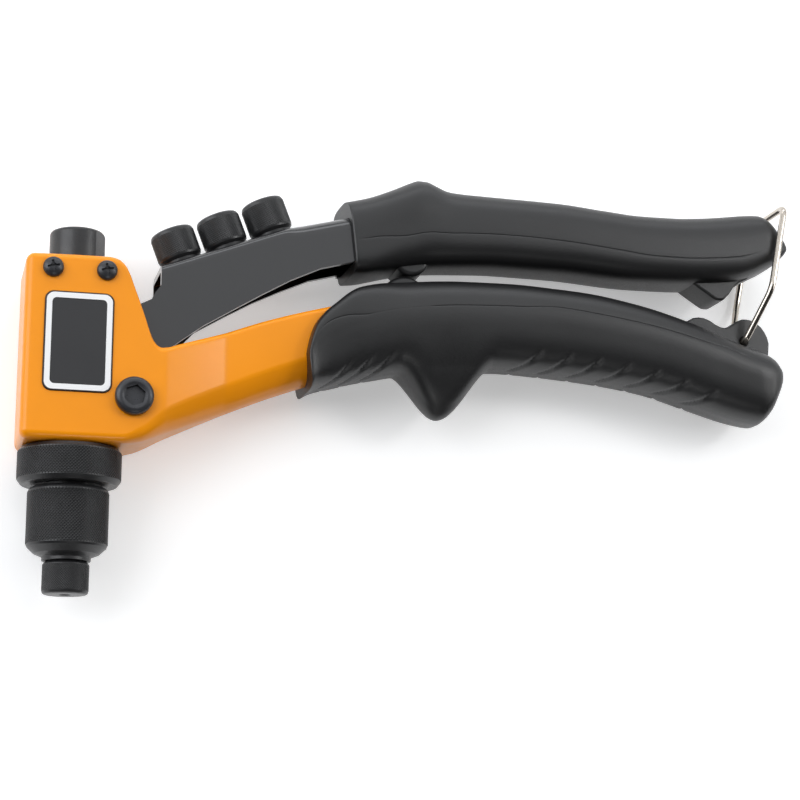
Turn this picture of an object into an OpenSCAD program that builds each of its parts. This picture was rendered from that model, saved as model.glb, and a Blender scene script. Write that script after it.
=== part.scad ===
// Hand riveter: cast head with handle arm, squeeze lever, threaded nose, jaw set and wire lock clip.
// Millimetres. X runs along the handles, Y up the rivet axis, Z out of the tool's broad side.
// Origin: middle of the nosepiece mouth. Drawn with the handles squeezed shut.

/* [Nose] */
// Distance from the nosepiece mouth to the underside of the head
nose_reach = 44.3; // [43:0.1:46]
// Nosepiece head diameter
nosepiece_d = 14; // [12:0.5:15]
// Nosepiece head length
nosepiece_len = 9.8; // [8:0.2:11]
// Mandrel hole of the fitted nosepiece
mandrel_d = 3; // [2.4:0.1:3.6]
// Nose sleeve diameter
sleeve_d = 24.5; // [23.5:0.5:26]
// Lock ring diameter
ring_d = 31.3; // [28:0.1:32]
// Lock ring length
ring_len = 11.2; // [10:0.2:12]

/* [Head] */
// Head thickness, face to face
head_thick = 28; // [27:0.5:32]
// Head height above the lock ring
head_high = 56.8; // [56:0.1:58]
// Distance from the rivet axis to the head's outer wall
head_left = 16; // [15:0.5:18]
// Edge rounding of the casting
head_round = 2.6; // [1.5:0.1:3]
// Arm thickness behind the head
arm_thick = 18; // [16:0.5:20]
// Nameplate width
plate_w = 20.4; // [18:0.2:21]
// Nameplate height
plate_h = 30.4; // [28:0.2:31]
// Outlet bush diameter
bush_d = 16.9; // [15.5:0.1:17.2]
// Outlet bush length above the head
bush_len = 10.7; // [9:0.1:13]

/* [Lever] */
// Width of the pressed lever channel
channel_w = 20.8; // [20:0.2:21]
// Sheet thickness of the lever
sheet = 2; // [1.6:0.1:2.4]
// Pivot bolt shank diameter
pivot_d = 8; // [7:0.2:8.4]
// Pivot bolt head diameter
pivot_head_d = 11.6; // [10:0.2:13]
// Largest opening of the lever in degrees
open_deg = 14; // [12:0.5:14]

/* [Grips] */
// Distance from the rivet axis to the end of the lower grip
handle_len = 232.2; // [226:0.1:244]
// Upper grip thickness
upper_thick = 24.8; // [24.6:0.2:25.6]
// Lower grip thickness
lower_thick = 27; // [26:0.5:30]
// Depth of the finger guard below the lower grip
guard_depth = 15.4; // [10:0.1:16]
// Lug thickness for the lock clip
lug_thick = 8; // [7:0.5:9]

/* [Lock clip] */
// Clip wire diameter
wire_d = 2.2; // [1.8:0.1:2.4]
// Clip swing from hooked to its drawn position, in degrees
clip_swing = 22; // [21.5:0.5:40]

/* [Jaw set] */
// Number of jaws
jaws = 3; // [3:1:3]
// Half angle of the jaw cone in degrees
cone_deg = 11.5; // [10:0.5:12]
// Jaw case diameter
case_d = 15.84; // [15.4:0.02:16]
// Return spring wire diameter
return_wire = 1.5; // [1.2:0.1:1.7]
// Return spring turns
return_turns = 5.5; // [4.5:0.5:6]
// Jaw spring wire diameter
jaw_wire = 0.9; // [0.7:0.1:1.1]
// Jaw spring turns
jaw_turns = 5.5; // [4.5:0.5:6.5]

/* [Hidden] */
$fn = 64;
play = 0.08;
seat = 0.1;
// Heights up the rivet axis
head_low = nose_reach;
ring_top = head_low - 0.4;
ring_low = ring_top - ring_len;
sleeve_top = ring_low - 0.8;
sleeve_low = nosepiece_len + 0.1;
head_top = head_low + head_high;
half = head_thick / 2;
neck_top = head_low + 5.6;
roof_low = head_top - 8.3;
screw_y = head_top - 4.5;
screw_x = 8;
screw_r = 1.5;
screw_head_r = 3.1;
// Thread neck of the nose and seat of the outlet bush
neck_r = 9.9;
seat_r = 7.4;
// Lever pivot, a fixed place on the head
pivot = [17.2, head_low + 14];
stroke = pivot[0] * tan(open_deg / 2) * 2;
fork_deg = open_deg / 2;
trunnion_y = pivot[1] + pivot[0] * tan(fork_deg);
trunnion_r = 2.4;
cheek = channel_w / 2;
cheek_in = cheek - sheet;
boss_r = 9.5;
pivot_r = pivot_d / 2;
pivot_bush_r = 6;
nut_r = 6.4;
// Middle of the nameplate on the head's face
plate_mid = [0.2, head_low + 29.8, half];
// Jaw case runs in the nose sleeve
case_r = case_d / 2;
sleeve_bore = case_r + play;
nose_shank = 4.5;
shank_top = sleeve_low + 5.6;
case_low = shank_top + 1.1 + stroke;
case_top = trunnion_y - trunnion_r - 3.19;
case_bore = 5.9;
mouth_r = 3.4;
cone_high = (case_bore - mouth_r) / tan(cone_deg);
pusher_low = case_low + cone_high - 0.4;
pusher_top = pusher_low + 11;
pull_top = trunnion_y + 15;
bush_low = roof_low - 2.4;
// Places behind the arm stretch with the handle length, and the tail's own forms move with it
arm_end = 84;
drawn_len = 232.2;
stretch = (handle_len - arm_end) / (drawn_len - arm_end);
function along(x) = x < arm_end ? x : arm_end + (x - arm_end) * stretch;
function stretched(outline) = [for (p = outline) [along(p[0]), p[1]]];
tail = along(220.5) - 220.5;
// Clip pivot in the lug of the lower grip
clip_pivot = [220.5 + tail, head_low + 45.9];

// Smooth curve through a table of stations, with no overshoot
function rise(t, i) = (t[i + 1][1] - t[i][1]) / (t[i + 1][0] - t[i][0]);
function lean(t, i) =
    i == 0 ? rise(t, 0) :
    i == len(t) - 1 ? rise(t, i - 1) :
    rise(t, i - 1) * rise(t, i) <= 0 ? 0 :
    2 * rise(t, i - 1) * rise(t, i) / (rise(t, i - 1) + rise(t, i));
function span(x, t) = min(len(t) - 2, max([0, for (k = [0 : len(t) - 2]) if (t[k][0] <= x) k]));
function between(t, i, h, u) =
    t[i][1] * (1 + 2 * u) * (1 - u) * (1 - u) + lean(t, i) * h * u * (1 - u) * (1 - u)
    + t[i + 1][1] * u * u * (3 - 2 * u) + lean(t, i + 1) * h * u * u * (u - 1);
function curve(x, t) =
    let (i = span(x, t), h = t[i + 1][0] - t[i][0], u = max(0, min(1, (x - t[i][0]) / h)))
    between(t, i, h, u);

// Skin through a row of closed sections
module loft(sections) {
    n = len(sections[0]);
    m = len(sections);
    points = [for (s = sections) each s];
    first = [for (j = [n - 1 : -1 : 0]) j];
    last = [for (j = [0 : n - 1]) (m - 1) * n + j];
    sides = [for (i = [0 : m - 2]) for (j = [0 : n - 1])
        let (a = i * n + j, b = i * n + (j + 1) % n)
        each [[a, b, b + n], [a, b + n, a + n]]];
    polyhedron(points, concat([first, last], sides), convexity = 8);
}

// Section with a round on every edge, at one x
function corner_arc(x, y, z, r, from, steps) =
    [for (k = [0 : steps]) let (a = from + 90 * k / steps) [x, y + r * sin(a), z + r * cos(a)]];
function edged_section(x, low, high, deep, r_low, r_high, steps = 6) = concat(
    corner_arc(x, high - r_high, deep - r_high, r_high, 0, steps),
    corner_arc(x, high - r_high, r_high - deep, r_high, 90, steps),
    corner_arc(x, low + r_low, r_low - deep, r_low, 180, steps),
    corner_arc(x, low + r_low, deep - r_low, r_low, 270, steps));

// Plump section for the grips: one power for the upper half, one for the lower half
function power(v, p) = sign(v) * pow(abs(v), 2 / p);
function plump_section(x, low, mid, high, deep, p_low, p_high, count = 32) =
    [for (k = [0 : count - 1]) let (a = 360 * k / count, p = sin(a) >= 0 ? p_high : p_low)
        [x, mid + (sin(a) >= 0 ? high - mid : mid - low) * power(sin(a), p), deep * power(cos(a), p)]];

// Section whose lower part leans forward and which turns a little about the vertical
function ease(t) = let (u = max(0, min(1, t))) u * u * (3 - 2 * u);
function leaned(section, lean_x, from_y, turn_x) =
    [for (p = section) [p[0] + lean_x * max(0, from_y - p[1]) + turn_x * p[2], p[1], p[2]]];

// Turned part about the rivet axis
module turned(profile) {
    rotate([-90, 0, 0]) rotate_extrude() polygon(profile);
}

// Slab of an outline in the XY plane, centred on z
module slab(outline, thick, z = 0) {
    translate([0, 0, z - thick / 2]) linear_extrude(thick) polygon(outline);
}

// Round bar from one height to another, along z
module bar_z(x, y, r, from, to) {
    translate([x, y, from]) cylinder(r = r, h = to - from);
}

// Coil on the rivet axis by formula, one unbroken tube
module coil(r, wire, low, high, turns, sides = 6, steps = 18) {
    rise_all = high - low - wire;
    count = round(turns * steps);
    pitch = rise_all / turns;
    climb = atan2(pitch, 2 * PI * r);
    echo(coil_self_gap = pitch * cos(climb) - wire);
    rings = [for (i = [0 : count]) let (t = 360 * turns * i / count,
                                        y = low + wire / 2 + rise_all * i / count)
        [for (k = [0 : sides - 1]) let (a = 360 * k / sides, out = r + wire / 2 * cos(a),
                                        up = wire / 2 * sin(a))
            [out * cos(t) + up * sin(climb) * sin(t), y + up * cos(climb),
             up * sin(climb) * cos(t) - out * sin(t)]]];
    n = sides;
    sides_faces = [for (i = [0 : count - 1]) for (j = [0 : n - 1])
        let (a = i * n + j, b = i * n + (j + 1) % n)
        each [[a, b, b + n], [a, b + n, a + n]]];
    ends = [[for (j = [n - 1 : -1 : 0]) j], [for (j = [0 : n - 1]) count * n + j]];
    polyhedron([for (s = rings) each s], concat(ends, sides_faces), convexity = 10);
}

// Casting outline stations: lower edge, upper edge and half thickness along x
cast_low = [[-16, 0], [14, 0], [19, 0.8], [29, 5.2], [46, 12.5], [60, 18.4], [73, 23.3], [84, 27.5]];
cast_high = [[-16, 56.8], [9, 57.2], [12, 56.4], [14.2, 54.1], [16.5, 48.6], [20.1, 38.9], [22, 33.4],
             [23.6, 30.8], [25.2, 29.9], [27, 30.1], [30.2, 31.3], [44, 36.3], [57, 41.2], [66, 44.1],
             [75.5, 46.8], [84, 49]];
cast_soft = [[-16, 2.6], [14, 2.6], [20, 4.5], [28, 7.5], [46, 8.6], [84, 8.6]];
cast_x = [-15.75, -15.1, -14.2, -13.3, -4, 5, 9, 10.5, 12, 13.2, 14.2, 15.4, 16.5, 18.3, 20.1, 21, 22,
          22.8, 23.6, 24.4, 25.2, 26.5, 30.2, 36, 41, 46, 51.5, 57, 66, 75.5, 84];
function cast_deep(x) = half - (half - arm_thick / 2) * max(0, min(1, (x - 26.5) / 19.5));
function end_inset(x) =
    let (d = x + 16)
    d < head_round ? head_round - sqrt(head_round * head_round - pow(head_round - d, 2)) : 0;
// Share of a change of the head's height that a station takes
drawn_high = 56.8;
function head_share(x) = x < 26 ? 1 + (head_high / drawn_high - 1) * (26 - x) / 42 : 1;
function cast_section(x, extra) =
    let (e = end_inset(x), soft = min(curve(x, cast_soft), cast_deep(x) - 0.2),
         shift = x < 0 ? (16 - head_left) * min(1, -x / 13) : 0)
    edged_section(x + shift, head_low + curve(x, cast_low) + e - extra,
        head_low + curve(x, cast_high) * head_share(x) - e + extra,
        cast_deep(x) - e + extra, soft - e * 0.6 + extra, head_round * 0.75 - e * 0.5 + extra);

// Tang that the lower grip is moulded on
tang_mid = [[74, 35], [90, 40.6], [115, 43.6], [140, 44.6], [165, 42.6], [185, 39.4], [205, 33.6]];
tang_x = [74, 90, 115, 140, 165, 185, 205];
function tang_side(extra, up) =
    [for (x = tang_x)
        [along(x) + (x > 200 ? extra : 0), head_low + curve(x, tang_mid) + up * (6 + extra)]];
function turned_round(list) = [for (k = [len(list) - 1 : -1 : 0]) list[k]];
function tang(extra) = concat(tang_side(extra, 1), turned_round(tang_side(extra, -1)));

// Hollow of the head for the lever and the jaw set
module head_hollow() {
    wide = channel_w + 0.8;
    slab([[-9.6, neck_top + 0.3], [-9.6, roof_low], [12.2, roof_low], [13.4, roof_low + 2.6],
          [45, roof_low + 2.6], [28.4, head_low + 33], [28.4, pivot[1]], [pivot[0], pivot[1] - boss_r],
          [11, neck_top + 0.3]], wide);
    bar_z(pivot[0], pivot[1], boss_r + 0.8, -wide / 2, wide / 2);
}

// Orange casting: head, arm and tang in one piece
module body_casting() {
    color([0.95, 0.55, 0.1])
    difference() {
        union() {
            loft([for (x = cast_x) cast_section(x, 0)]);
            slab(tang(0), 12);
        }
        head_hollow();
        // nose thread, outlet bush seat and pivot holes
        turned([[0, head_low - 1], [neck_r + play, head_low - 1], [neck_r + play, neck_top + 1],
                [0, neck_top + 1]]);
        turned([[0, roof_low - 1], [seat_r + play, roof_low - 1], [seat_r + play, head_top + 2],
                [0, head_top + 2]]);
        bar_z(pivot[0], pivot[1], pivot_r + 0.05, -half - 1, half + 1);
        // retaining screws cross the bush seat
        bar_z(-screw_x, screw_y, screw_r + 0.05, -9, half + 1);
        bar_z(screw_x, screw_y, screw_r + 0.05, -9, half + 1);
        // shallow bed for the nameplate
        translate(plate_mid - [0, 0, 0.5]) plate_blank(0.15, 2);
    }
}

// Nameplate outline with round corners
module plate_blank(extra, thick) {
    w = plate_w / 2 + extra;
    h = plate_h / 2 + extra;
    r = 2.6;
    linear_extrude(thick) polygon([for (k = [0 : 3]) each [for (a = [0 : 15 : 90])
        [(k == 0 || k == 3 ? 1 : -1) * (w - r) + r * cos(a + 90 * k),
         (k < 2 ? 1 : -1) * (h - r) + r * sin(a + 90 * k)]]]);
}

// Bare plate with a raised border
module nameplate() {
    color([0.1, 0.1, 0.11])
    translate(plate_mid - [0, 0, 0.45])
    difference() {
        plate_blank(0, 1);
        translate([0, 0, 0.85]) plate_blank(-1.3, 1);
    }
}

// Cross-slot pan screw along z
module pan_screw(x, y) {
    translate([x, y, half])
    difference() {
        union() {
            rotate_extrude() polygon(concat([[0, 0.05], [screw_head_r, 0.05]], [for (a = [0 : 15 : 90])
                [a == 90 ? 0 : screw_head_r * cos(a), 0.6 + 1.6 * sin(a)]]));
            translate([0, 0, -20]) cylinder(r = screw_r, h = 20.2);
        }
        for (a = [0, 90]) rotate(a) translate([-1.75, -0.42, 1.1]) cube([3.5, 0.84, 3]);
    }
}
module bush_screw_left() {
    color([0.12, 0.12, 0.13]) pan_screw(-screw_x, screw_y);
}
module bush_screw_right() {
    color([0.12, 0.12, 0.13]) pan_screw(screw_x, screw_y);
}

// Pivot bolt with a six-sided socket in a low round head
module pivot_bolt() {
    color([0.13, 0.13, 0.14])
    difference() {
        union() {
            translate([pivot[0], pivot[1], half + 0.05]) rotate_extrude()
                polygon([[0, 0], [pivot_head_d / 2, 0], [pivot_head_d / 2, 1.6],
                         [pivot_head_d / 2 - 0.5, 2.3], [pivot_head_d / 2 - 1.4, 2.8], [0, 2.8]]);
            bar_z(pivot[0], pivot[1], pivot_r, -half - 1.8, half + 0.5);
        }
        translate([pivot[0], pivot[1], half + 1.2]) cylinder(r = 3.3, h = 4, $fn = 6);
    }
}
module pivot_nut() {
    color([0.13, 0.13, 0.14])
    difference() {
        translate([pivot[0], pivot[1], -half - 2.2]) cylinder(r = nut_r, h = 2.15, $fn = 6);
        bar_z(pivot[0], pivot[1], pivot_r + 0.05, -half - 4, -half + 1);
    }
}

// Mandrel outlet bush, held by the two screws in its groove
module outlet_bush() {
    color([0.14, 0.14, 0.15])
    difference() {
        turned([[3.5, bush_low], [seat_r, bush_low], [seat_r, screw_y - 1.7], [6.2, screw_y - 1.7],
                [6.2, screw_y + 1.7], [seat_r, screw_y + 1.7], [seat_r, head_top + 0.4],
                [bush_d / 2, head_top + 0.4], [bush_d / 2, head_top + bush_len - 1],
                [bush_d / 2 - 1, head_top + bush_len], [4.5, head_top + bush_len],
                [3.5, head_top + bush_len - 1]]);
        // two spanner flats, turned a little to the front
        rotate([0, -28, 0]) for (s = [-1, 1])
            translate([s * (bush_d / 2 + 4.2), head_top + 9, 0]) cube([10, 14.6, 30], center = true);
    }
}

// Lock ring, screwed on the sleeve against the head
module lock_ring() {
    r = ring_d / 2;
    color([0.12, 0.12, 0.13])
    turned([[neck_r + play, ring_low], [r - 1.4, ring_low], [r, ring_low + 1.4], [r, ring_top - 1.1],
            [r - 1.1, ring_top], [neck_r + play, ring_top]]);
}

// Nose sleeve: gripping part, neck with thread and bore for the jaw case
module nose_sleeve() {
    r = sleeve_d / 2;
    color([0.12, 0.12, 0.13])
    turned([[nose_shank + play, sleeve_low], [7.3, sleeve_low], [7.3, sleeve_low + 1],
            [8, sleeve_low + 1.5], [r - 2.5, sleeve_low + 2.2], [r - 0.3, sleeve_low + 4.2],
            [r, sleeve_low + 4.7], [r, sleeve_top - 1.2], [r - 0.4, sleeve_top - 0.4],
            [r - 1.2, sleeve_top], [neck_r, sleeve_top], [neck_r, neck_top], [sleeve_bore, neck_top],
            [sleeve_bore, shank_top + 0.4], [nose_shank + play, shank_top + 0.4]]);
}

// Nosepiece: knurled head, threaded shank, mandrel hole
module nose_form(hole_d) {
    r = nosepiece_d / 2;
    turned([[hole_d / 2, 0], [r - 1, 0], [r - 0.3, 0.3], [r, 1], [r, nosepiece_len - 0.8],
            [r - 0.8, nosepiece_len], [nose_shank, nosepiece_len], [nose_shank, shank_top],
            [hole_d / 2, shank_top]]);
}
module nosepiece() {
    color([0.16, 0.16, 0.17]) nose_form(mandrel_d);
}

// Web line of the lever: heights above the head's underside
web_deg = 21;
web_start = [24.9, head_low + 56.8];
web_knee = [65.2, web_start[1] + (65.2 - 24.9) * tan(web_deg)];
web_line = stretched([web_start, web_knee, [84, web_knee[1] + 4.9], [100, web_knee[1] + 7.8],
                      [205, web_knee[1] + 7.8]]);
cheek_low = [[84, 61.5], [74.8, 59], [65.3, 54.5], [56.2, 49.2], [47.2, 43.7], [38, 38], [31.1, 32.8]];
function cheek_outline(extra) = concat(
    [for (k = [0 : 4]) [web_line[k][0] + (k == 4 ? extra : 0), web_line[k][1] + extra]],
    [[along(205) + extra, web_knee[1] - 0.2 - extra], [along(112), web_knee[1] - 1.6 - extra],
     [along(96), web_knee[1] - 6 - extra]],
    [for (p = cheek_low) [p[0], head_low + p[1] - extra]],
    [[27.6, head_low + 30], [26.4, head_low + 26], [pivot[0] + 5, pivot[1] + 3],
     [pivot[0] - 5, pivot[1] + 2], [9.5, head_low + 32], [14, head_low + 40.5], [19, head_low + 43.8],
     [22.1, head_low + 45.4], [23.2, head_low + 47.6], [24.9, head_low + 50]]);
// The far cheek is a little shallower
far_lift = [0.9, 0.9, 1.1, 1.9, 2.2, 2.3];
far_trim = concat([for (k = [0 : 5]) [cheek_low[k][0], head_low + cheek_low[k][1] + far_lift[k]]],
    [[31.1, head_low + 32.8], [31.1, head_low + 20], [84, head_low + 48]]);

// Fork that carries the trunnions, turned to its drawn angle about the pivot
module fork(thick) {
    translate([pivot[0], pivot[1], 0]) rotate(-fork_deg)
    difference() {
        slab([[2, -4.6], [2, 4.6], [-19, 4.6], [-20.5, 3.6], [-20.5, -3.6], [-19, -4.6]], thick);
        translate([-19.4, 0, 0]) cube([10, 2 * trunnion_r + 0.3, thick + 2], center = true);
    }
}

// Round on a bent edge: what is left outside the bend, cut along one straight run of the web
module bend_cut(a, b, r) {
    run = norm(b - a);
    for (s = [-1, 1])
    translate([a[0], a[1], 0]) rotate(atan2(b[1] - a[1], b[0] - a[0]))
    translate([0, 0, s * cheek]) mirror([0, 0, s > 0 ? 0 : 1])
    difference() {
        translate([-3, -r, -r]) cube([run + 6, r + 3, r + 3]);
        translate([-4, -r, -r]) rotate([0, 90, 0]) cylinder(r = r + 0.03, h = run + 8);
    }
}

// Pressed steel channel: two cheeks joined by the web, open underneath
module lever_channel() {
    bend = 3;
    rear_bend = 4.6;
    color([0.09, 0.09, 0.1])
    difference() {
        union() {
            slab(cheek_outline(0), channel_w);
            bar_z(pivot[0], pivot[1], boss_r, -cheek, cheek);
            fork(channel_w);
        }
        slab(concat([[-30, web_line[0][1] - sheet / cos(web_deg) - 54.9 * tan(web_deg)]],
            [for (k = [1 : 4]) [web_line[k][0] + (k == 4 ? 9 : 0),
                                web_line[k][1] - sheet / cos(web_deg)]],
            [[web_line[4][0] + 9, 0], [-30, 0]]), 2 * cheek_in);
        bend_cut(web_start, web_knee, bend);
        bend_cut(web_knee, web_line[2], rear_bend);
        slab(far_trim, sheet + 2, -cheek);
        bar_z(pivot[0], pivot[1], pivot_bush_r + 0.02, -cheek - 1, cheek + 1);
        for (k = [0 : 2]) spare_place(k) rotate([-90, 0, 0])
            translate([0, 0, -8]) cylinder(r = nose_shank + play, h = 12);
    }
}

// Places of the spare nosepieces on the web
spare_first = 8.4;
spare_pitch = 15.4;
module spare_place(k) {
    d = spare_first + spare_pitch * k;
    translate([web_start[0] + d * cos(web_deg), web_start[1] + d * sin(web_deg), 0])
    rotate(web_deg) children();
}
module spare(k, hole_d, longer) {
    r = nosepiece_d / 2;
    top = nosepiece_len + 1.5 + longer;
    spare_place(k)
    turned([[hole_d / 2, -4.2], [nose_shank, -4.2], [nose_shank, 0.05], [5.8, 0.05], [5.8, 1.3],
            [r - 0.6, 1.7], [r, 2.4], [r, top - 1], [r - 0.3, top - 0.3], [r - 1, top], [hole_d / 2, top]]);
}
module spare_nosepiece_1() {
    color([0.16, 0.16, 0.17]) spare(0, 2, 0);
}
module spare_nosepiece_2() {
    color([0.16, 0.16, 0.17]) spare(1, 2.4, 0.3);
}
module spare_nosepiece_3() {
    color([0.16, 0.16, 0.17]) spare(2, 3.6, 0.8);
}

// Sleeve pressed in the cheeks, turning on the bolt
module pivot_bush() {
    color([0.75, 0.6, 0.3])
    difference() {
        bar_z(pivot[0], pivot[1], pivot_bush_r, -cheek - 0.2, cheek + 0.2);
        bar_z(pivot[0], pivot[1], pivot_r + 0.05, -cheek - 1, cheek + 1);
    }
}

// Upper grip stations: under side, top side, half thickness and squareness of the top along x
up_low = [[83.2, 58.9], [87, 59.2], [94, 60.3], [102, 62], [110, 63.5], [120, 64.7], [136, 65.7],
          [155, 65.6], [182, 64.2], [196, 64.1], [209, 64.6], [217, 65.6], [222, 67.3], [227, 69.8],
          [230.9, 72], [233.5, 74.5], [234.6, 76.5]];
up_high = [[83.2, 81.8], [90.7, 84.6], [98.7, 88.2], [104.9, 91.2], [107.6, 92.2], [110, 92.2], [113, 91.1],
           [118, 89.3], [124, 88.9], [155, 88.4], [171, 87.2], [184, 86.4], [196, 86.6], [204, 87.2],
           [212, 88.2], [221, 89.5], [225.5, 89.8], [228, 89], [229.9, 87.2], [231.8, 84], [233.5, 80.7],
           [234.6, 78.1]];
up_deep = [[83.2, 0.97], [83.7, 1], [226, 1], [230.4, 0.95], [233.1, 0.82], [234.6, 0.62]];
up_crown = [[83.2, 5.4], [95, 3.7], [110, 3], [234.6, 3]];
up_base = 7;
up_x = [83.2, 83.4, 83.7, 86, 88.5, 91, 95, 98.7, 102, 104.9, 107.6, 110, 113, 116, 120, 128, 140, 155, 170,
        184, 196, 204, 209, 215, 221, 225.5, 228, 229.9, 231.8, 233.5, 234.6];
// Its front end leans and turns a little, over a short run
up_lean = 0.11;
up_lean_top = head_low + 82;
up_lean_run = 14;
up_turn = 0.03;
function up_section(x) =
    let (low = head_low + curve(x, up_low), high = head_low + curve(x, up_high),
         front = 1 - ease((x - up_x[0]) / up_lean_run))
    leaned(plump_section(along(x), low, low + 0.45 * (high - low), high,
                         upper_thick / 2 * curve(x, up_deep), up_base, curve(x, up_crown)),
           up_lean * front, up_lean_top, up_turn * front);

// Upper grip: thumb hump, stop lump and tooth under the tail
tooth_outline = [[199.5, 68], [201, 65.9], [203.5, 64.6], [206.3, 61.3], [209, 59], [211.6, 58.3],
                 [213.9, 59.6], [216.2, 62.7], [219.2, 65.7], [224, 68.6], [224, 75], [199.5, 75]];
tooth_thick = 15;
module lever_grip() {
    color([0.17, 0.17, 0.18])
    difference() {
        union() {
            loft([for (x = up_x) up_section(x)]);
            bar_z(along(105), head_low + 65.7, 6, -7, 7);
            slab([for (p = tooth_outline) [p[0] + tail, p[1] + head_low]], tooth_thick);
        }
        slab(cheek_outline(seat), channel_w + 2 * seat);
    }
}

// Lower grip stations: under side, top side, half thickness and squareness of both sides along x
low_low = [[70.5, 20.6], [73, 21.6], [80, 23.1], [88, 25.2], [95, 26.7], [100.5, 27.9], [130, 31],
           [137, 31.4], [150, 30.9], [168, 29.7], [186, 27.6], [204, 23.1], [215, 20], [220, 18.9],
           [224.4, 18.3], [227.6, 20.4], [230, 25.4], [231.7, 30.6], [232.2, 33]];
low_high = [[70.5, 31.5], [71.5, 36.4], [73.3, 41.3], [76.7, 45.6], [80, 48.6], [84.8, 52.7], [88, 54.5],
            [96, 56.8], [106, 58.3], [122, 59.5], [139, 59.8], [154, 59.2], [164.5, 58.5], [182, 55.7],
            [198, 51.6], [210, 47.4], [220, 43.8], [226.5, 41.8], [229, 40.4], [230.8, 38], [231.8, 36],
            [232.2, 34.7]];
low_deep = [[70.5, 0.97], [71, 1], [222, 1], [226.5, 0.96], [229.6, 0.86], [231.4, 0.74], [232.2, 0.58]];
low_base = [[70.5, 5], [100, 5], [232.2, 6]];
low_crown = [[70.5, 9], [80, 8], [92, 4.5], [104, 3], [232.2, 3]];
low_x = [70.5, 70.7, 71, 72, 73.3, 75, 76.7, 80, 84.8, 90, 96, 100.5, 103, 105, 107, 109, 111, 113, 115,
         117, 119, 121, 123.5, 126, 129, 133, 138, 146, 156, 168, 180, 192, 204, 214, 220, 224.4, 226.5, 229,
         230.8, 231.8, 232.2];
// Its front end leans too
low_lean = 0.15;
low_lean_top = head_low + 32;
low_lean_run = 9;
// Finger guard under the grip
guard_from = 101;
guard_peak = 115;
guard_to = 132;
guard_round = 2.6;
function guard_share(x) =
    x < guard_from || x > guard_to ? 0 :
    x < guard_peak ? pow(sin(90 * (x - guard_from) / (guard_peak - guard_from)), 1.6) :
    pow(cos(90 * (x - guard_peak) / (guard_to - guard_peak)), 1.6);
function low_section(x) =
    let (base = head_low + curve(x, low_low), high = head_low + curve(x, low_high), g = guard_share(x))
    leaned(plump_section(along(x), base - guard_depth * g, base + 0.5 * (high - base), high,
                         lower_thick / 2 * curve(x, low_deep),
                         curve(x, low_base) * (1 - g) + guard_round * g, curve(x, low_crown)),
           low_lean * (1 - ease((x - low_x[0]) / low_lean_run)), low_lean_top, 0);

// Lug on the tail with the hole for the lock clip
lug_outline = [[197, 40], [198.5, 49], [201, 52], [204.6, 53.3], [208.4, 52.6], [212.6, 50.4],
               [215.4, 50.6], [218.6, 52.9], [222, 53.7], [225.7, 52.5], [228.4, 49.7], [229.8, 45.9],
               [229.2, 38.6], [226, 34], [210, 34]];
module body_grip() {
    color([0.17, 0.17, 0.18])
    difference() {
        union() {
            loft([for (x = low_x) low_section(x)]);
            slab([for (p = lug_outline) [p[0] + tail, p[1] + head_low]], lug_thick);
            bar_z(along(103), head_low + 51.3, 8, -7, 7);
        }
        loft([for (x = [60, 66, 75.5, 84]) cast_section(x, seat)]);
        slab(tang(seat), 12 + 2 * seat);
        bar_z(clip_pivot[0], clip_pivot[1], wire_d / 2 + play, -lug_thick, lug_thick);
        for (s = [-1, 1]) translate([clip_pivot[0], clip_pivot[1], s * lug_thick / 2])
            rotate([s > 0 ? 0 : 180, 0, 0]) translate([0, 0, -0.6])
            cylinder(r1 = wire_d / 2 + play, r2 = wire_d / 2 + play + 0.8, h = 0.8);
    }
}

// Bent wire clip: hooked over the upper grip when swung in, drawn swung clear of it
clip_side = upper_thick / 2 + 0.6 + wire_d / 2;
clip_knots = [[0, 0, 1.2], [0, 0, lug_thick / 2 + wire_d / 2 + 0.4], [-0.3, 17.1, clip_side],
              [-5.6, 45.8, clip_side]];
clip_bends = [0, 1.4, 3, 3.4];
function unit(v) = v / norm(v);
function flip_z(p) = [p[0], p[1], -p[2]];
// Points round one bend of the wire
function bend(p, before, after, r, steps = 5) =
    let (a = p + unit(before - p) * r, b = p + unit(after - p) * r)
    [for (k = [0 : steps]) let (u = k / steps) (1 - u) * (1 - u) * a + 2 * u * (1 - u) * p + u * u * b];
clip_half = concat([clip_knots[0]], [for (k = [1 : 3]) each
    bend(clip_knots[k], clip_knots[k - 1], k < 3 ? clip_knots[k + 1] : flip_z(clip_knots[3]),
         clip_bends[k])]);
clip_route = concat(clip_half, [for (k = [len(clip_half) - 1 : -1 : 0]) flip_z(clip_half[k])]);
// Section directions carried along the route without twist
function heading(route, i) = unit(route[min(i + 1, len(route) - 1)] - route[max(i - 1, 0)]);
function carried(route, i = 0, side = [1, 0, 0]) =
    let (t = heading(route, i), s = unit(side - (side * t) * t))
    i == len(route) - 1 ? [[s, cross(t, s)]] : concat([[s, cross(t, s)]], carried(route, i + 1, s));
module wire(route, d, sides = 12) {
    frames = carried(route);
    n = sides;
    m = len(route);
    points = [for (i = [0 : m - 1]) for (k = [0 : n - 1]) let (a = -360 * k / n)
        route[i] + d / 2 * (cos(a) * frames[i][0] + sin(a) * frames[i][1])];
    skin = [for (i = [0 : m - 2]) for (j = [0 : n - 1])
        let (a = i * n + j, b = i * n + (j + 1) % n)
        each [[a, b, b + n], [a, b + n, a + n]]];
    ends = [[for (j = [n - 1 : -1 : 0]) j], [for (j = [0 : n - 1]) (m - 1) * n + j]];
    polyhedron(points, concat(ends, skin), convexity = 10);
}
module lock_clip() {
    color([0.8, 0.8, 0.82])
    translate([clip_pivot[0], clip_pivot[1], 0]) rotate(-clip_swing) wire(clip_route, wire_d);
}

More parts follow.
